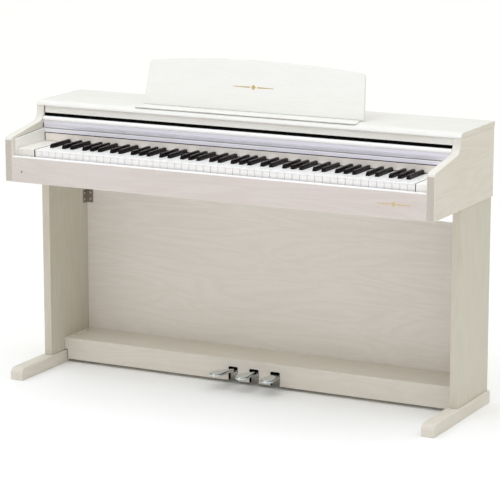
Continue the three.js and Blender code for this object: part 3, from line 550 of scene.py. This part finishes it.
class Shape:
    """Points and faces of several closed islands, gathered for one mesh."""

    def __init__(self):
        self.points = []
        self.faces = []

    def rings(self, rings):
        """Skins a row of rings with equal point counts, and closes both ends."""
        start = len(self.points)
        count = len(rings[0])
        for ring in rings:
            self.points.extend(ring)
        for i in range(len(rings) - 1):
            for j in range(count):
                a = start + i * count + j
                b = start + i * count + (j + 1) % count
                self.faces.append((a, b, b + count, a + count))
        last = start + (len(rings) - 1) * count
        self.faces.append(tuple(range(start, start + count))[::-1])
        self.faces.append(tuple(range(last, last + count)))

    def box(self, low, high):
        ring = [(low[0], low[1]), (high[0], low[1]), (high[0], high[1]), (low[0], high[1])]
        self.rings([[(x, y, z) for x, y in ring] for z in (low[2], high[2])])

    def turned(self, centre, axis, profile, steps=32):
        """A solid of revolution from pairs of radius and distance along the axis."""
        axis, around = spokes(axis, steps)
        centre = Vector(centre)
        self.rings([[tuple(centre + axis * reach + spoke * radius) for spoke in around]
                    for radius, reach in profile])

    def sleeve(self, centre, axis, outer, inner, start, end, steps=32):
        """A bored cylinder from start to end along its axis."""
        axis, around = spokes(axis, steps)
        centre = Vector(centre)
        first = len(self.points)
        for spoke in around:
            for radius, reach in ((outer, start), (outer, end), (inner, end), (inner, start)):
                self.points.append(tuple(centre + axis * reach + spoke * radius))
        for k in range(steps):
            for j in range(4):
                a = first + 4 * k + j
                b = first + 4 * k + (j + 1) % 4
                c = first + 4 * ((k + 1) % steps) + (j + 1) % 4
                d = first + 4 * ((k + 1) % steps) + j
                self.faces.append((a, b, c, d))

    def mesh(self, name):
        return mesh_of(name, self.points, self.faces)


def softened(node, name, materials, radius, segments=3, body="cabinet"):
    """The CAD node's own shape as a clean mesh with rounded edges, standing for the node."""
    shape = bmesh.new()
    shape.from_mesh(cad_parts[node].data)
    bmesh.ops.remove_doubles(shape, verts=shape.verts, dist=1e-6)
    bmesh.ops.dissolve_limit(shape, angle_limit=math.radians(1.0), verts=shape.verts, edges=shape.edges)
    mesh = bpy.data.meshes.new(name)
    shape.to_mesh(mesh)
    shape.free()
    piece = make_object(name, mesh, materials, body, replaces=[node])
    round_edges(piece, radius, segments)
    return piece


# ---- cabinet and stand
def band(piece, material, chosen):
    """Gives the chosen faces a foil of their own, picked by the way they face: a lighter or darker copy,
    painted light and shade.
    """
    index = len(piece.data.materials)
    piece.data.materials.append(material)
    for polygon in piece.data.polygons:
        if chosen(polygon):
            polygon.material_index = index


def build_boards():
    """Foil-covered boards, each with the grain and edge radius of the real panel."""
    for side in ("left", "right"):
        arm = softened(f"{side}_side_panel", f"{side}_arm", FOIL["side_panel"], ARM_EDGE_RADIUS, 4)
        # painted light and shade: the arm's slope and upper front in a lighter copy of the foil, its lower
        # front face in a darker one
        band(arm, LIT_AND_SHADED_FOIL["arm_slope_lit"], lambda face: face.normal.y < -0.01 or face.normal.z > 0.25)
        band(arm, LIT_AND_SHADED_FOIL["arm_front_shade"], lambda face: face.normal.y < -0.9 and face.center.z < ARM_NOSE * MM)
        softened(f"{side}_leg", f"{side}_leg_board", FOIL["leg"], 1.2)
        softened(f"{side}_foot", f"{side}_foot_block", FOIL["foot"], 2.0, 4)
        softened(f"{side}_cheek_lining", f"{side}_cheek", FOIL["cheek"], 1.0)
    for node, name, finish, radius in (
            ("back_panel", "back_board", "back", 0.8),
            ("pedal_box_front", "pedal_box_face", "pedal_box", 0.9),
            ("pedal_box_top", "pedal_box_lid", "pedal_box", 0.6),
            ("header_board", "header", "header", 0.8),
            ("key_bed", "key_bed_board", "lengthwise", 1.0),
            ("key_slip", "key_slip_board", "key_slip", 1.6),
            ("rear_cover", "rear_board", "lengthwise", 1.0),
            ("name_board", "name_rail", "name_board", 0.6),
            ("music_rest_ledge", "rest_ledge", "lid", 1.0)):
        softened(node, name, FOIL[finish], radius)
    lid = softened("top_lid", "lid_board", FOIL["lid"], 1.2)
    # painted shade: the lid's end faces take the darker side panel foil, its top the lighter lid foil
    band(lid, FOIL["side_panel"][0], lambda face: abs(face.normal.x) > 0.9)
    softened("music_rest_board", "rest_board", FOIL["music_rest"], 2.2, 4, "music_rest")
    softened("key_cover_panel", "cover_board", FOIL["lengthwise"], 0.7, body="key_cover")
    softened("key_cover_flap", "cover_flap", [PAINTED_WHITE], 1.2, 4, "key_cover_flap")


def carry_over(node, material):
    """Keeps a CAD node and gives it a finished material."""
    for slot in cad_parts[node].material_slots:
        slot.link = "OBJECT"
        slot.material = material


# ---- keyboard
KEYS_LOW, _ = corners("bass_white_keys")
_, KEYS_HIGH = corners("top_white_keys")
KEYS_LEFT = KEYS_LOW.x - KEY_CLEARANCE / 2
KEY_FRONT = KEYS_LOW.y
WHITE_TOP = KEYS_HIGH.z
WHITE_BOTTOM = KEYS_LOW.z
BLACK_LOW, BLACK_HIGH = corners("key_c_sharp4")


def white_number(step, octave):
    """White keys are counted from the lowest, A of octave 0."""
    return 7 * octave - 5 + step


def black_centre(place, octave):
    step, shift = BLACK_PLACES[place]
    return KEYS_LEFT + KEY_PITCH * (white_number(step, octave) + 1) + shift


def black_exists(place, octave):
    left = white_number(BLACK_PLACES[place][0], octave)
    return left >= 0 and left + 1 < WHITE_COUNT


def white_key_plan(number, front):
    """Outline of one white key, cut back beside each black key."""
    octave, step = divmod(number + 5, 7)
    left = KEYS_LEFT + number * KEY_PITCH + KEY_CLEARANCE / 2
    right = left + KEY_PITCH - KEY_CLEARANCE
    slot = KEY_FRONT + SLOT_SETBACK
    back = KEY_FRONT + WHITE_TAIL_BACK
    tail_left = left
    tail_right = right
    for place, (low, _shift) in BLACK_PLACES.items():
        if not black_exists(place, octave):
            continue
        if low == step:
            tail_right = black_centre(place, octave) - SLOT_WIDTH / 2
        if low + 1 == step:
            tail_left = black_centre(place, octave) + SLOT_WIDTH / 2
    plan = [(left, front), (right, front)]
    if tail_right < right:
        plan += [(right, slot), (tail_right, slot)]
    plan += [(tail_right, back), (tail_left, back)]
    if tail_left > left:
        plan += [(tail_left, slot), (left, slot)]
    return plan


def add_white_key(shape, number):
    """The key's front hangs over its own wall by a small moulded lip."""
    lip = WHITE_TOP - KEY_LIP["thick"]
    inset = KEY_FRONT + KEY_LIP["overhang"]
    levels = [(WHITE_BOTTOM - KEY_SKIRT, inset), (lip - KEY_LIP["slope"], inset), (lip, KEY_FRONT),
              (WHITE_TOP, KEY_FRONT)]
    shape.rings([[(x, y, z) for x, y in white_key_plan(number, front)] for z, front in levels])


def white_keys(name, body, first, last):
    """White keys first to last with the bar that joins them behind the cover, as one piece."""
    shape = Shape()
    for number in range(first, last + 1):
        add_white_key(shape, number)
    low, high = corners(body)
    inset = WHITE_BAR["inset"]
    shape.box((low.x + inset, KEY_FRONT + WHITE_TAIL_BACK - inset, WHITE_BOTTOM + WHITE_BAR["low"]),
              (high.x - inset, high.y, WHITE_BOTTOM + WHITE_BAR["high"]))
    rounded(name, shape, [SMOOTH_WHITE], body, 0.75, 3, replaces=[body])


def add_black_key(shape, centre):
    """A black key with leaning sides and a rounded nose, on its stem."""
    low = BLACK_LOW
    top = BLACK_HIGH.z
    base_half = (BLACK_HIGH.x - BLACK_LOW.x) / 2
    lean = (base_half - BLACK_TOP_WIDTH / 2) / (top - WHITE_TOP)
    rings = []
    for reach, drop in BLACK_PROFILE:
        y = low.y + reach
        height = top - drop
        half = base_half - lean * (height - WHITE_TOP)
        edge = min(1.5, (height - WHITE_TOP) * 0.4)
        side = [(base_half, low.z), (base_half, WHITE_TOP), (half + lean * edge, height - edge),
                (half - edge * 0.3, height - edge * 0.3), (half - edge, height)]
        rings.append([(centre + x, y, z) for x, z in side] + [(centre, y, height + BLACK_CROWN)]
                     + [(centre - x, y, z) for x, z in reversed(side)])
    shape.rings(rings)
    stem = low.z + BLACK_STEM["low"]
    half = base_half - BLACK_STEM["inset"]
    shape.box((centre - half, low.y + BLACK_STEM["front"], stem),
              (centre + half, BLACK_HIGH.y, stem + BLACK_STEM["thick"]))


def black_keys(name, body, centres):
    shape = Shape()
    for centre in centres:
        add_black_key(shape, centre)
    if len(centres) > 1:
        low = BLACK_LOW.z + BLACK_STEM["low"] + BLACK_BAR["inset"]
        high = BLACK_LOW.z + BLACK_STEM["low"] + BLACK_STEM["thick"] - BLACK_BAR["inset"]
        shape.box((centres[0], BLACK_HIGH.y - BLACK_BAR["depth"], low), (centres[-1], BLACK_HIGH.y, high))
    rounded(name, shape, [GLOSS_BLACK], body, 0.35, angle=40.0, replaces=[body])


def build_keyboard():
    for group, (first, last) in KEY_GROUPS.items():
        low = max(0, white_number(0, first))
        high = min(WHITE_COUNT - 1, white_number(6, last))
        white_keys(f"{group}_white_key_tops", f"{group}_white_keys", low, high)
        centres = [black_centre(place, octave) for octave in range(first, last + 1)
                   for place in BLACK_PLACES if black_exists(place, octave)]
        black_keys(f"{group}_black_key_tops", f"{group}_black_keys", centres)
    for step, name in enumerate(WHITE_NAMES):
        number = white_number(step, MIDDLE_OCTAVE)
        white_keys(f"white_key_{name}4", f"key_{name}4", number, number)
    for place in BLACK_PLACES:
        black_keys(f"black_key_{place}4", f"key_{place}4", [black_centre(place, MIDDLE_OCTAVE)])
    # painted light: the right key block takes a lighter foil than the left
    for side, finish in (("left", "fore_and_aft"), ("right", "right_block")):
        softened(f"{side}_key_block", f"{side}_block", FOIL[finish], 1.3, 4)


# ---- screws
def cross_head(radius):
    """A pan-head screw's head with a cross recess, standing on Z 0."""
    shape = Shape()
    rise = radius * 0.55
    profile = [(radius, -0.3), (radius, rise * 0.15), (radius * 0.97, rise * 0.38),
               (radius * 0.86, rise * 0.66), (radius * 0.66, rise * 0.86), (radius * 0.38, rise * 0.97),
               (radius * 0.05, rise)]
    shape.turned((0, 0, 0), (0, 0, 1), profile, 28)
    head = linked("head", shape.mesh("head"))
    wide = radius * 0.13
    long = radius * 0.55
    cutters = []
    for x, y in ((wide, long), (long, wide)):
        arm = Shape()
        arm.box((-x, -y, rise * 0.25), (x, y, rise * 2))
        cutters.append(linked("cutter", arm.mesh("cutter")))
        boolean = head.modifiers.new("cut", "BOOLEAN")
        boolean.operation = "DIFFERENCE"
        boolean.solver = "EXACT"
        boolean.object = cutters[-1]
    evaluated = head.evaluated_get(bpy.context.evaluated_depsgraph_get())
    result = bpy.data.meshes.new_from_object(evaluated)
    for piece in (head, *cutters):
        bpy.data.objects.remove(piece)
    return result


def screws(name, places, radius, body="cabinet"):
    """Screw heads at (point, axis) places in millimetres, as one piece."""
    head = cross_head(radius)
    whole = bmesh.new()
    for index, (point, axis) in enumerate(places):
        turn = Vector(axis).to_track_quat("Z", "Y").to_matrix().to_4x4()
        twist = Matrix.Rotation(SCREW_TURN + SCREW_STEP * index, 4, "Z")
        move = Matrix.Translation(Vector(point) * MM)
        copy = head.copy()
        copy.transform(move @ turn @ twist)
        whole.from_mesh(copy)
        bpy.data.meshes.remove(copy)
    mesh = bpy.data.meshes.new(name)
    whole.to_mesh(mesh)
    whole.free()
    bpy.data.meshes.remove(head)
    return make_object(name, mesh, [SCREW_STEEL], body)


# ---- fittings
def build_brackets():
    """Pressed angle brackets with two screws through each leaf."""
    for side, sign in SIDES:
        node = f"{side}_corner_bracket"
        low, high = corners(node)
        softened(node, f"{side}_bracket", [STEEL], 0.5, 2)
        outer = low.x if sign < 0 else high.x
        gap = BRACKET_SCREWS
        places = []
        for z in (low.z + gap["edge"], high.z - gap["edge"]):
            places.append(((outer - sign * gap["across"], high.y - gap["leaf"], z), (0, -1, 0)))
            places.append(((outer - sign * gap["leaf"], high.y - gap["deep"], z), (-sign, 0, 0)))
        screws(f"{side}_bracket_screws", places, SCREW["bracket"])


def build_board_screws():
    """Screws in the pedal box lid, the rear board and the back board."""
    _, high = corners("pedal_box_top")
    lid_top = high.z
    places = [((sign * (high.x - BOX_SCREWS["edge"]), y, lid_top), (0, 0, 1))
              for _, sign in SIDES for y in BOX_SCREWS["y"]]
    screws("pedal_box_screws", places, SCREW["box"])
    low, high = corners("rear_cover")
    rows = (low.z + REAR_SCREWS["edge"], high.z - REAR_SCREWS["edge"])
    places = [((x, high.y, z), (0, 1, 0)) for x in REAR_SCREWS["x"] for z in rows]
    screws("rear_board_screws", places, SCREW["board"])
    _, high = corners("back_panel")
    places = [((x, high.y, lid_top - BACK_SCREWS["drop"]), (0, 1, 0)) for x in BACK_SCREWS["x"]]
    screws("back_board_screws", places, SCREW["board"])


def blend_stations(stations, steps):
    """Catmull-Rom points between the given stations."""
    result = []
    for i in range(len(stations) - 1):
        p = [Vector(stations[max(0, min(len(stations) - 1, i + k))]) for k in (-1, 0, 1, 2)]
        for s in range(steps):
            t = s / steps
            square = (2 * p[0] - 5 * p[1] + 4 * p[2] - p[3]) * t * t
            cube = (3 * p[1] - p[0] - 3 * p[2] + p[3]) * t * t * t
            result.append(0.5 * ((2 * p[1]) + (p[2] - p[0]) * t + square + cube))
    result.append(Vector(stations[-1]))
    return result


def smooth_step(value, low, high):
    t = max(0.0, min(1.0, (value - low) / (high - low)))
    return t * t * (3 - 2 * t)


def build_pedals():
    """Cast levers with a broad round paddle, crowned on top and hollow underneath, on a bored hub."""
    start, end, deeper = PEDAL_DEEPEN
    for name, place in PEDALS:
        low, high = corners(name)
        tip = low.y - PEDAL_TIP_GAP
        middle = place * PEDAL_PITCH
        shape = Shape()
        rings = []
        for reach, half, top in blend_stations(PEDAL_STATIONS, 3):
            x = middle + place * PEDAL_SPLAY * (1 - smooth_step(reach, *PEDAL_BEND))
            thick = PEDAL_THICK + deeper * smooth_step(reach, start, end)
            rings.append([(x + half * a, tip + reach, top - thick + thick * b) for a, b in PEDAL_SECTION])
        shape.rings(rings)
        sides = len(PEDAL_SECTION) * (len(rings) - 1)
        hub = PEDAL_HUB
        shape.sleeve((middle, low.y + hub["reach"], hub["z"]), (1, 0, 0),
                     hub["radius"], hub["bore"], -hub["half"], hub["half"])
        piece = rounded(f"{name}_lever", shape, [CHROME, DARK_CAST_AND_REFLECTION], name, 0.5, angle=50.0, replaces=[name])
        # painted reflection: dark lines on the paddle's upper rounding, and a dark underside that is partly
        # the cast finish
        for polygon in piece.data.polygons[:sides]:
            if polygon.index % len(PEDAL_SECTION) in PEDAL_DARK:
                polygon.material_index = 1


def felt_piece(name, shape, body="cabinet"):
    """A piece of black felt; most pieces made with it are painted shade in gaps and hollows."""
    return make_object(name, shape.mesh(name), [BLACK_FELT], body)


def profile_strip(name, profile, half, materials, body, replaces=()):
    """A strip of one section in (Y, Z), carried across the piano."""
    shape = Shape()
    shape.rings([[(x, y, z) for y, z in profile] for x in (-half, half)])
    rounded(name, shape, materials, body, 0.12, replaces=replaces)


def build_slot_linings():
    """A black arch that lines each pedal's cut-out, and behind it a black felt hood and baffle over the
    lever: painted shade that hides the inside of the pedal box.
    """
    low, high = corners("pedal_box_front")
    thick, half, top, curve = (SLOT_LINING[k] for k in ("thick", "half", "top", "round"))
    for name, place in PEDALS:
        middle = place * PEDAL_PITCH
        rings = []
        for inset in (0.0, thick):
            arch = [(half - inset, low.z)]
            for k in range(6):
                angle = math.pi / 2 * k / 5
                radius = curve - inset * 0.5
                arch.append((half - inset - radius + radius * math.cos(angle),
                             top - inset - radius + radius * math.sin(angle)))
            rings.append(arch + [(-x, z) for x, z in reversed(arch)])
        outline = rings[0] + rings[1][::-1]
        shape = Shape()
        back = high.y + SLOT_LINING["deep"]
        shape.rings([[(middle + x, y, z) for x, z in outline]
                     for y in (low.y + SLOT_LINING["set_back"], high.y)])
        for left in (-half, half - thick):
            shape.box((middle + left, high.y, SLOT_SHADE_HOOD["low"]), (middle + left + thick, back, top))
        shape.box((middle - half, high.y, top - thick), (middle + half, back, top))
        shape.box((middle - half, back, SLOT_SHADE_HOOD["baffle"]), (middle + half, back + thick, SLOT_SHADE_HOOD["high"]))
        round_edges(felt_piece(f"{name}_slot_lining_and_shade", shape), 0.2, 2)


def build_trim():
    """Silver strips: two bands on the flap and a plain one on the cover's lip; the lower band is a darker
    copy of the silver, a painted shade, and the lip strip a lighter copy, a painted light.
    """
    low, high = corners("key_cover_trim")
    middle = (low.z + high.z) / 2 - 1.0
    front = low.y
    back = high.y
    half = high.x
    upper = [(back, middle + TRIM_LINE / 2), (front - TRIM_BEAD * 0.2, middle + TRIM_LINE / 2),
             (front - TRIM_BEAD * 0.35, middle + TRIM_LINE), (front, high.z - 1.2),
             (front + 0.5, high.z - 0.3), (back, high.z - 0.3)]
    lower = [(back, low.z), (front + 0.6, low.z), (front + 0.45, low.z + 0.4),
             (front - TRIM_BEAD, middle - TRIM_LINE), (front - TRIM_BEAD * 0.8, middle - TRIM_LINE / 2),
             (back, middle - TRIM_LINE / 2)]
    profile_strip("flap_strip", upper, half, [SILVER], "key_cover_flap", replaces=["key_cover_trim"])
    profile_strip("flap_lower_strip", lower, half, [SILVER_PAINTED_SHADE], "key_cover_flap")
    low, _ = corners("key_cover_panel")
    lip_half = corners("name_board")[1].x - LIP_END_GAP
    lip_top = low.z + LIP_HEIGHT
    lip_low = low.z - LIP_HANG
    proud = LIP_STRIP_PROUD
    lip = [(low.y + 1.5, lip_low), (low.y - proud * 0.7, lip_low + 0.1), (low.y - proud, lip_low + 0.8),
           (low.y - proud, lip_top - 1.2), (low.y - proud * 0.6, lip_top - 0.4),
           (low.y + 0.05, lip_top - 0.2), (low.y + 0.05, low.z - 0.1), (low.y + 1.5, low.z - 0.1)]
    profile_strip("cover_lip_strip", lip, lip_half, [SILVER_LIP_LIT], "key_cover")
    # painted shade: a black felt strip under the lip stands in for the shadow beneath it
    felt_low = lip_low - LIP_SHADE_FELT
    felt = [(low.y + 0.6, felt_low), (low.y + 0.6, lip_low), (low.y + 3.0, lip_low), (low.y + 3.0, felt_low)]
    profile_strip("cover_lip_shade_felt", felt, lip_half, [BLACK_FELT], "key_cover")


def build_track_shade_lines():
    """A dark felt line along the top of each cheek lining, against the side panel: painted shade in the gap
    between them.
    """
    for side, sign in SIDES:
        low, high = corners(f"{side}_cheek_lining")
        wall = low.x if sign < 0 else high.x
        slope = math.tan(math.radians(TRACK_SLOPE))
        shape = Shape()
        line = [low.y + TRACK_START + (COVER_EDGE - low.y - TRACK_START) * k / 12 for k in range(13)]
        rings = []
        for y in line:
            top = high.z - (high.y - y) * slope
            grow = min(1.0, (y - line[0]) / 40.0 + 0.15)
            edge = wall - sign * TRACK_WIDTH * grow
            rings.append([(wall, y, top - 0.3), (edge, y, top - 0.3), (edge, y, top + TRACK_PROUD),
                          (wall, y, top + TRACK_PROUD)])
        shape.rings(rings)
        felt_piece(f"{side}_track_shade_line", shape)


def build_slip_top_highlight():
    """A pale strip along the top of the key slip: a painted highlight on its top face."""
    low, high = corners("key_slip")
    rise = SLIP_HIGHLIGHT_STRIP["rise"]
    front = low.y + SLIP_HIGHLIGHT_STRIP["inset"]
    cap = [(front, high.z - 0.4), (front, high.z + rise - 0.8), (front + 0.8, high.z + rise),
           (high.y, high.z + rise), (high.y, high.z - 0.4)]
    profile_strip("slip_top_highlight", cap, high.x, [LIT_AND_SHADED_FOIL["slip_top_highlight"]], "cabinet")


def build_name_board_feet():
    """Short fillers that close the gap between the name board and the key blocks."""
    board_low, _ = corners("name_board")
    for side in ("left", "right"):
        low, high = corners(f"{side}_key_block")
        shape = Shape()
        inset = NAME_FOOT["inset"]
        shape.box((low.x + inset, board_low.y, high.z),
                  (high.x - inset, board_low.y + NAME_FOOT["deep"], board_low.z + NAME_FOOT["lap"]))
        rounded(f"{side}_name_board_foot", shape, FOIL["name_board"][:1], "cabinet", 0.4)


def build_shade_curtain():
    """A black felt sheet under the header board: painted shade in the gap above the flap, hiding the inside
    of the cabinet.
    """
    low, high = corners("header_board")
    flap_top = corners("key_cover_flap")[1].z
    front = low.y + SHADE_CURTAIN["set_back"]
    back = front + SHADE_CURTAIN["thick"]
    bottom = flap_top + SHADE_CURTAIN["clear"]
    top = low.z + SHADE_CURTAIN["tuck"]
    curtain = [(front, bottom), (front, top), (back, top), (back, bottom)]
    profile_strip("header_shade_curtain", curtain, high.x, [BLACK_FELT], "cabinet")


def build_seams():
    """Dark felt at the left ends of the header and name board, beside the keys and at the flap's ends:
    painted shade in the gaps there.
    """
    width = SEAM["width"]
    proud = SEAM["proud"]
    for side, sign in SIDES:
        shape = Shape()
        for node in ("header_board", "name_board") if side == "left" else ():
            low, high = corners(node)
            shape.box((-high.x, low.y - proud, low.z), (width - high.x, low.y + SEAM["deep"], high.z))
        low, high = corners(f"{side}_key_block")
        edge = high.x if sign < 0 else low.x
        ends = sorted((edge - sign * proud, edge + sign * SEAM["beside_keys"]))
        shape.box((ends[0], low.y - proud, low.z), (ends[1], high.y, high.z + proud))
        felt_piece(f"{side}_seam_shade_felt", shape)
        low, high = corners("key_cover_flap")
        ends = sorted((sign * high.x, sign * (high.x - width)))
        shape = Shape()
        shape.box((ends[0], low.y - proud, low.z + 1),
                  (ends[1], low.y + SEAM["deep"], low.z + SEAM["end_shade"]))
        felt_piece(f"{side}_flap_end_shade", shape, "key_cover_flap")


def build_sockets():
    """Socket plate with the metal and the dark insides of its four sockets."""
    low, high = corners("jack_plate")
    softened("jack_plate", "socket_plate", [BLACK_PLASTIC], 0.5, 2)
    middle = (low.z + high.z) / 2
    left = low.x - 0.3
    back = high.y
    phones = [left + place for place in PHONE_SOCKETS]
    power = left + POWER_INLET
    metal = Shape()
    for x in phones:
        metal.sleeve((x, back, middle), (0, 1, 0), *PHONE_BARREL)
        metal.sleeve((x, back, middle), (0, 1, 0), *PHONE_NUT)
    metal.turned((power, back, middle), (0, 1, 0), POWER_PIN, 20)
    metal.sleeve((power, back, middle), (0, 1, 0), *POWER_RING)
    inner = left + DATA_SOCKET["from"]
    width, half, wall, deep = (DATA_SOCKET[k] for k in ("width", "half_height", "wall", "deep"))
    rise = half - wall
    for x0, x1, z0, z1 in ((0, width, rise, half), (0, width, -half, -rise), (0, wall, -rise, rise),
                           (width - wall, width, -rise, rise)):
        metal.box((inner + x0, back - deep, middle + z0), (inner + x1, back + 0.3, middle + z1))
    rounded("socket_metal", metal, [SCREW_STEEL], "cabinet", 0.15)
    dark = Shape()
    dark.box((inner + 3.5, back - 10, middle - 1.2), (inner + 15.5, back - 1.5, middle + 1.2))
    plug = [(4.5, -2.0), (5.6, -1.2), (5.6, 1.2), (4.5, 1.4)]
    for x in (power, *phones):
        dark.turned((x, back - 14.5, middle), (0, 1, 0), plug, 24)
    rounded("socket_cores", dark, [BLACK_PLASTIC], "cabinet", 0.2)
    places = [((x, back, z), (0, 1, 0)) for x in (low.x + 6, high.x - 6) for z in (low.z + 6, high.z - 6)]
    screws("socket_plate_screws", places, SCREW["socket"])


def build_speakers():
    for side in ("left", "right"):
        low, high = corners(f"{side}_speaker")
        shape = Shape()
        centre = ((low.x + high.x) / 2, (low.y + high.y) / 2, low.z)
        shape.turned(centre, (0, 0, 1), SPEAKER_SECTION, 48)
        piece = make_object(f"{side}_speaker_unit", shape.mesh("speaker"), [SPEAKER_PAPER], "cabinet",
                            replaces=[f"{side}_speaker"])
        smooth(piece)
        piece.modifiers.new("even_shading", "WEIGHTED_NORMAL").keep_sharp = True


def build_lamp():
    low, high = corners("power_lamp")
    shape = Shape()
    centre = ((low.x + high.x) / 2, low.y, (low.z + high.z) / 2)
    radius = (high.x - low.x) / 2
    profile = [(radius * 0.05, -0.9), (radius * 0.5, -0.75), (radius * 0.85, -0.3), (radius, 0.3),
               (radius, high.y - low.y)]
    shape.turned(centre, (0, 1, 0), profile, 24)
    rounded("lamp_lens", shape, [LENS], "cabinet", 0.1, angle=60.0, replaces=["power_lamp"])


# ---- ornaments
def ornament_shape(half_length, half_height):
    """A small diamond between two tapering bars, drawn flat in X and Z on a board whose face is Y 0."""
    shape = Shape()
    gap = half_height * 1.5
    outlines = [[(-half_height, 0), (0, -half_height), (half_height, 0), (0, half_height)]]
    for sign in (-1, 1):
        outlines.append([(sign * gap, -half_height * 0.24), (sign * half_length, -half_height * 0.10),
                         (sign * half_length, half_height * 0.10), (sign * gap, half_height * 0.24)])
    for outline in outlines:
        shape.rings([[(x, y, z) for x, z in outline] for y in (ORNAMENT_SUNK, -ORNAMENT_THICK)])
    return shape


def place_ornament(name, half_length, half_height, place, lean, body):
    mesh = ornament_shape(half_length, half_height).mesh(name)
    mesh.transform(Matrix.Translation(Vector(place) * MM) @ Matrix.Rotation(-lean, 4, "X"))
    piece = make_object(name, mesh, [GOLD], body)
    round_edges(piece, 0.08, 2)


def build_ornaments():
    low, _ = corners("music_rest_board")
    up = Vector((0, math.sin(REST_LEAN), math.cos(REST_LEAN)))
    place = Vector((REST_ORNAMENT["x"], low.y, REST_FOOT)) + up * REST_ORNAMENT["rise"]
    place_ornament("rest_ornament", *REST_ORNAMENT["half"], place, REST_LEAN, "music_rest")
    low, _ = corners("key_slip")
    place = (SLIP_ORNAMENT["x"], low.y, SLIP_ORNAMENT["z"])
    place_ornament("slip_ornament", *SLIP_ORNAMENT["half"], place, 0.0, "cabinet")


# ---- music rest hinges
def build_rest_hinges():
    """Fixed leaves on the lid, and the moving leaves screwed to the back of the board."""
    back = Vector((0, math.cos(REST_LEAN), -math.sin(REST_LEAN)))
    up = Vector((0, math.sin(REST_LEAN), math.cos(REST_LEAN)))
    foot = Vector((0, corners("music_rest_board")[0].y, REST_FOOT)) + back * REST_BOARD
    leaf = REST_LEAF
    leaves = Shape()
    heads = []
    fixed_heads = []
    for side, _ in SIDES:
        node = f"{side}_rest_hinge"
        low, high = corners(node)
        softened(node, f"{side}_hinge", [STEEL], 0.3, 2)
        front = [foot + up * leaf["low"], foot + up * leaf["high"]]
        ring = front + [point + back * leaf["thick"] for point in reversed(front)]
        leaves.rings([[(x, point.y, point.z) for point in ring] for x in (low.x + 1, high.x - 1)])
        for x in (low.x + leaf["side"], high.x - leaf["side"]):
            heads.append((Vector((x, 0, 0)) + foot + up * leaf["screw"] + back * leaf["thick"], back))
            fixed_heads.append((Vector((x, high.y - 6, low.z + 1.5)), Vector((0, 0, 1))))
    rounded("rest_hinge_leaves", leaves, [STEEL], "music_rest", 0.3)
    screws("rest_leaf_screws", heads, SCREW["hinge"], "music_rest")
    screws("lid_leaf_screws", fixed_heads, SCREW["hinge"])


def build_inner_parts():
    """Inner parts that keep the CAD's own shape, and the red felt strip behind the keys."""
    carry_over("pedal_carrier", STEEL)
    carry_over("pedal_axle", SCREW_STEEL)
    carry_over("key_frame", CHASSIS)
    carry_over("main_board", CIRCUIT)
    softened("key_felt", "felt_strip", [RED_FELT], 1.2)


build_boards()
build_keyboard()
build_brackets()
build_board_screws()
build_pedals()
build_trim()
build_track_shade_lines()
build_slot_linings()
build_slip_top_highlight()
build_shade_curtain()
build_name_board_feet()
build_seams()
build_sockets()
build_speakers()
build_lamp()
build_ornaments()
build_rest_hinges()
build_inner_parts()


# ---- camera, floor and light
def build_camera():
    data = bpy.data.cameras.new("camera")
    data.lens = CAMERA_LENS
    data.sensor_width = 36.0
    data.clip_end = 100.0
    camera = linked("camera", data)
    forward = Vector((-math.sin(CAMERA_YAW) * math.cos(CAMERA_PITCH),
                      math.cos(CAMERA_YAW) * math.cos(CAMERA_PITCH), -math.sin(CAMERA_PITCH)))
    camera.location = CAMERA_PLACE
    camera.rotation_mode = "QUATERNION"
    camera.rotation_quaternion = forward.to_track_quat("-Z", "Y")
    bpy.context.scene.camera = camera


def build_floor():
    half = FLOOR_HALF
    mesh = mesh_of("studio_floor", [(-half, -half, 0), (half, -half, 0), (half, half, 0), (-half, half, 0)],
                   [(0, 1, 2, 3)])
    floor = linked("studio_floor", mesh)
    mesh.materials.append(FLOOR_PAINT)


def build_lamp_panel(name, place, aim, size, energy, colour):
    data = bpy.data.lights.new(name, "AREA")
    data.shape = "RECTANGLE"
    data.size, data.size_y = size
    data.energy = energy
    data.color = colour
    lamp = linked(name, data)
    lamp.location = place
    lamp.rotation_mode = "QUATERNION"
    lamp.rotation_quaternion = (Vector(aim) - Vector(place)).to_track_quat("-Z", "Y")


def build_light():
    """A sky that brightens towards the zenith, a soft lamp over the keys and a low one in front."""
    world = bpy.data.worlds.new("studio")
    bpy.context.scene.world = world
    world.use_nodes = True
    n = Nodes(world.node_tree)
    direction = n.add("SeparateXYZ", Vector=n.add("TexCoord").outputs["Generated"])
    sky = n.mix(direction.outputs["Z"], SKY_HORIZON, SKY_ZENITH)
    seen = n.mix(n.add("LightPath").outputs["Is Camera Ray"], sky, BACKDROP)
    n.feed(n.tree.nodes["Background"].inputs["Color"], seen)
    for lamp in LAMPS:
        build_lamp_panel(*lamp)


build_camera()
build_floor()
build_light()
bpy.context.scene.view_settings.view_transform = "Standard"
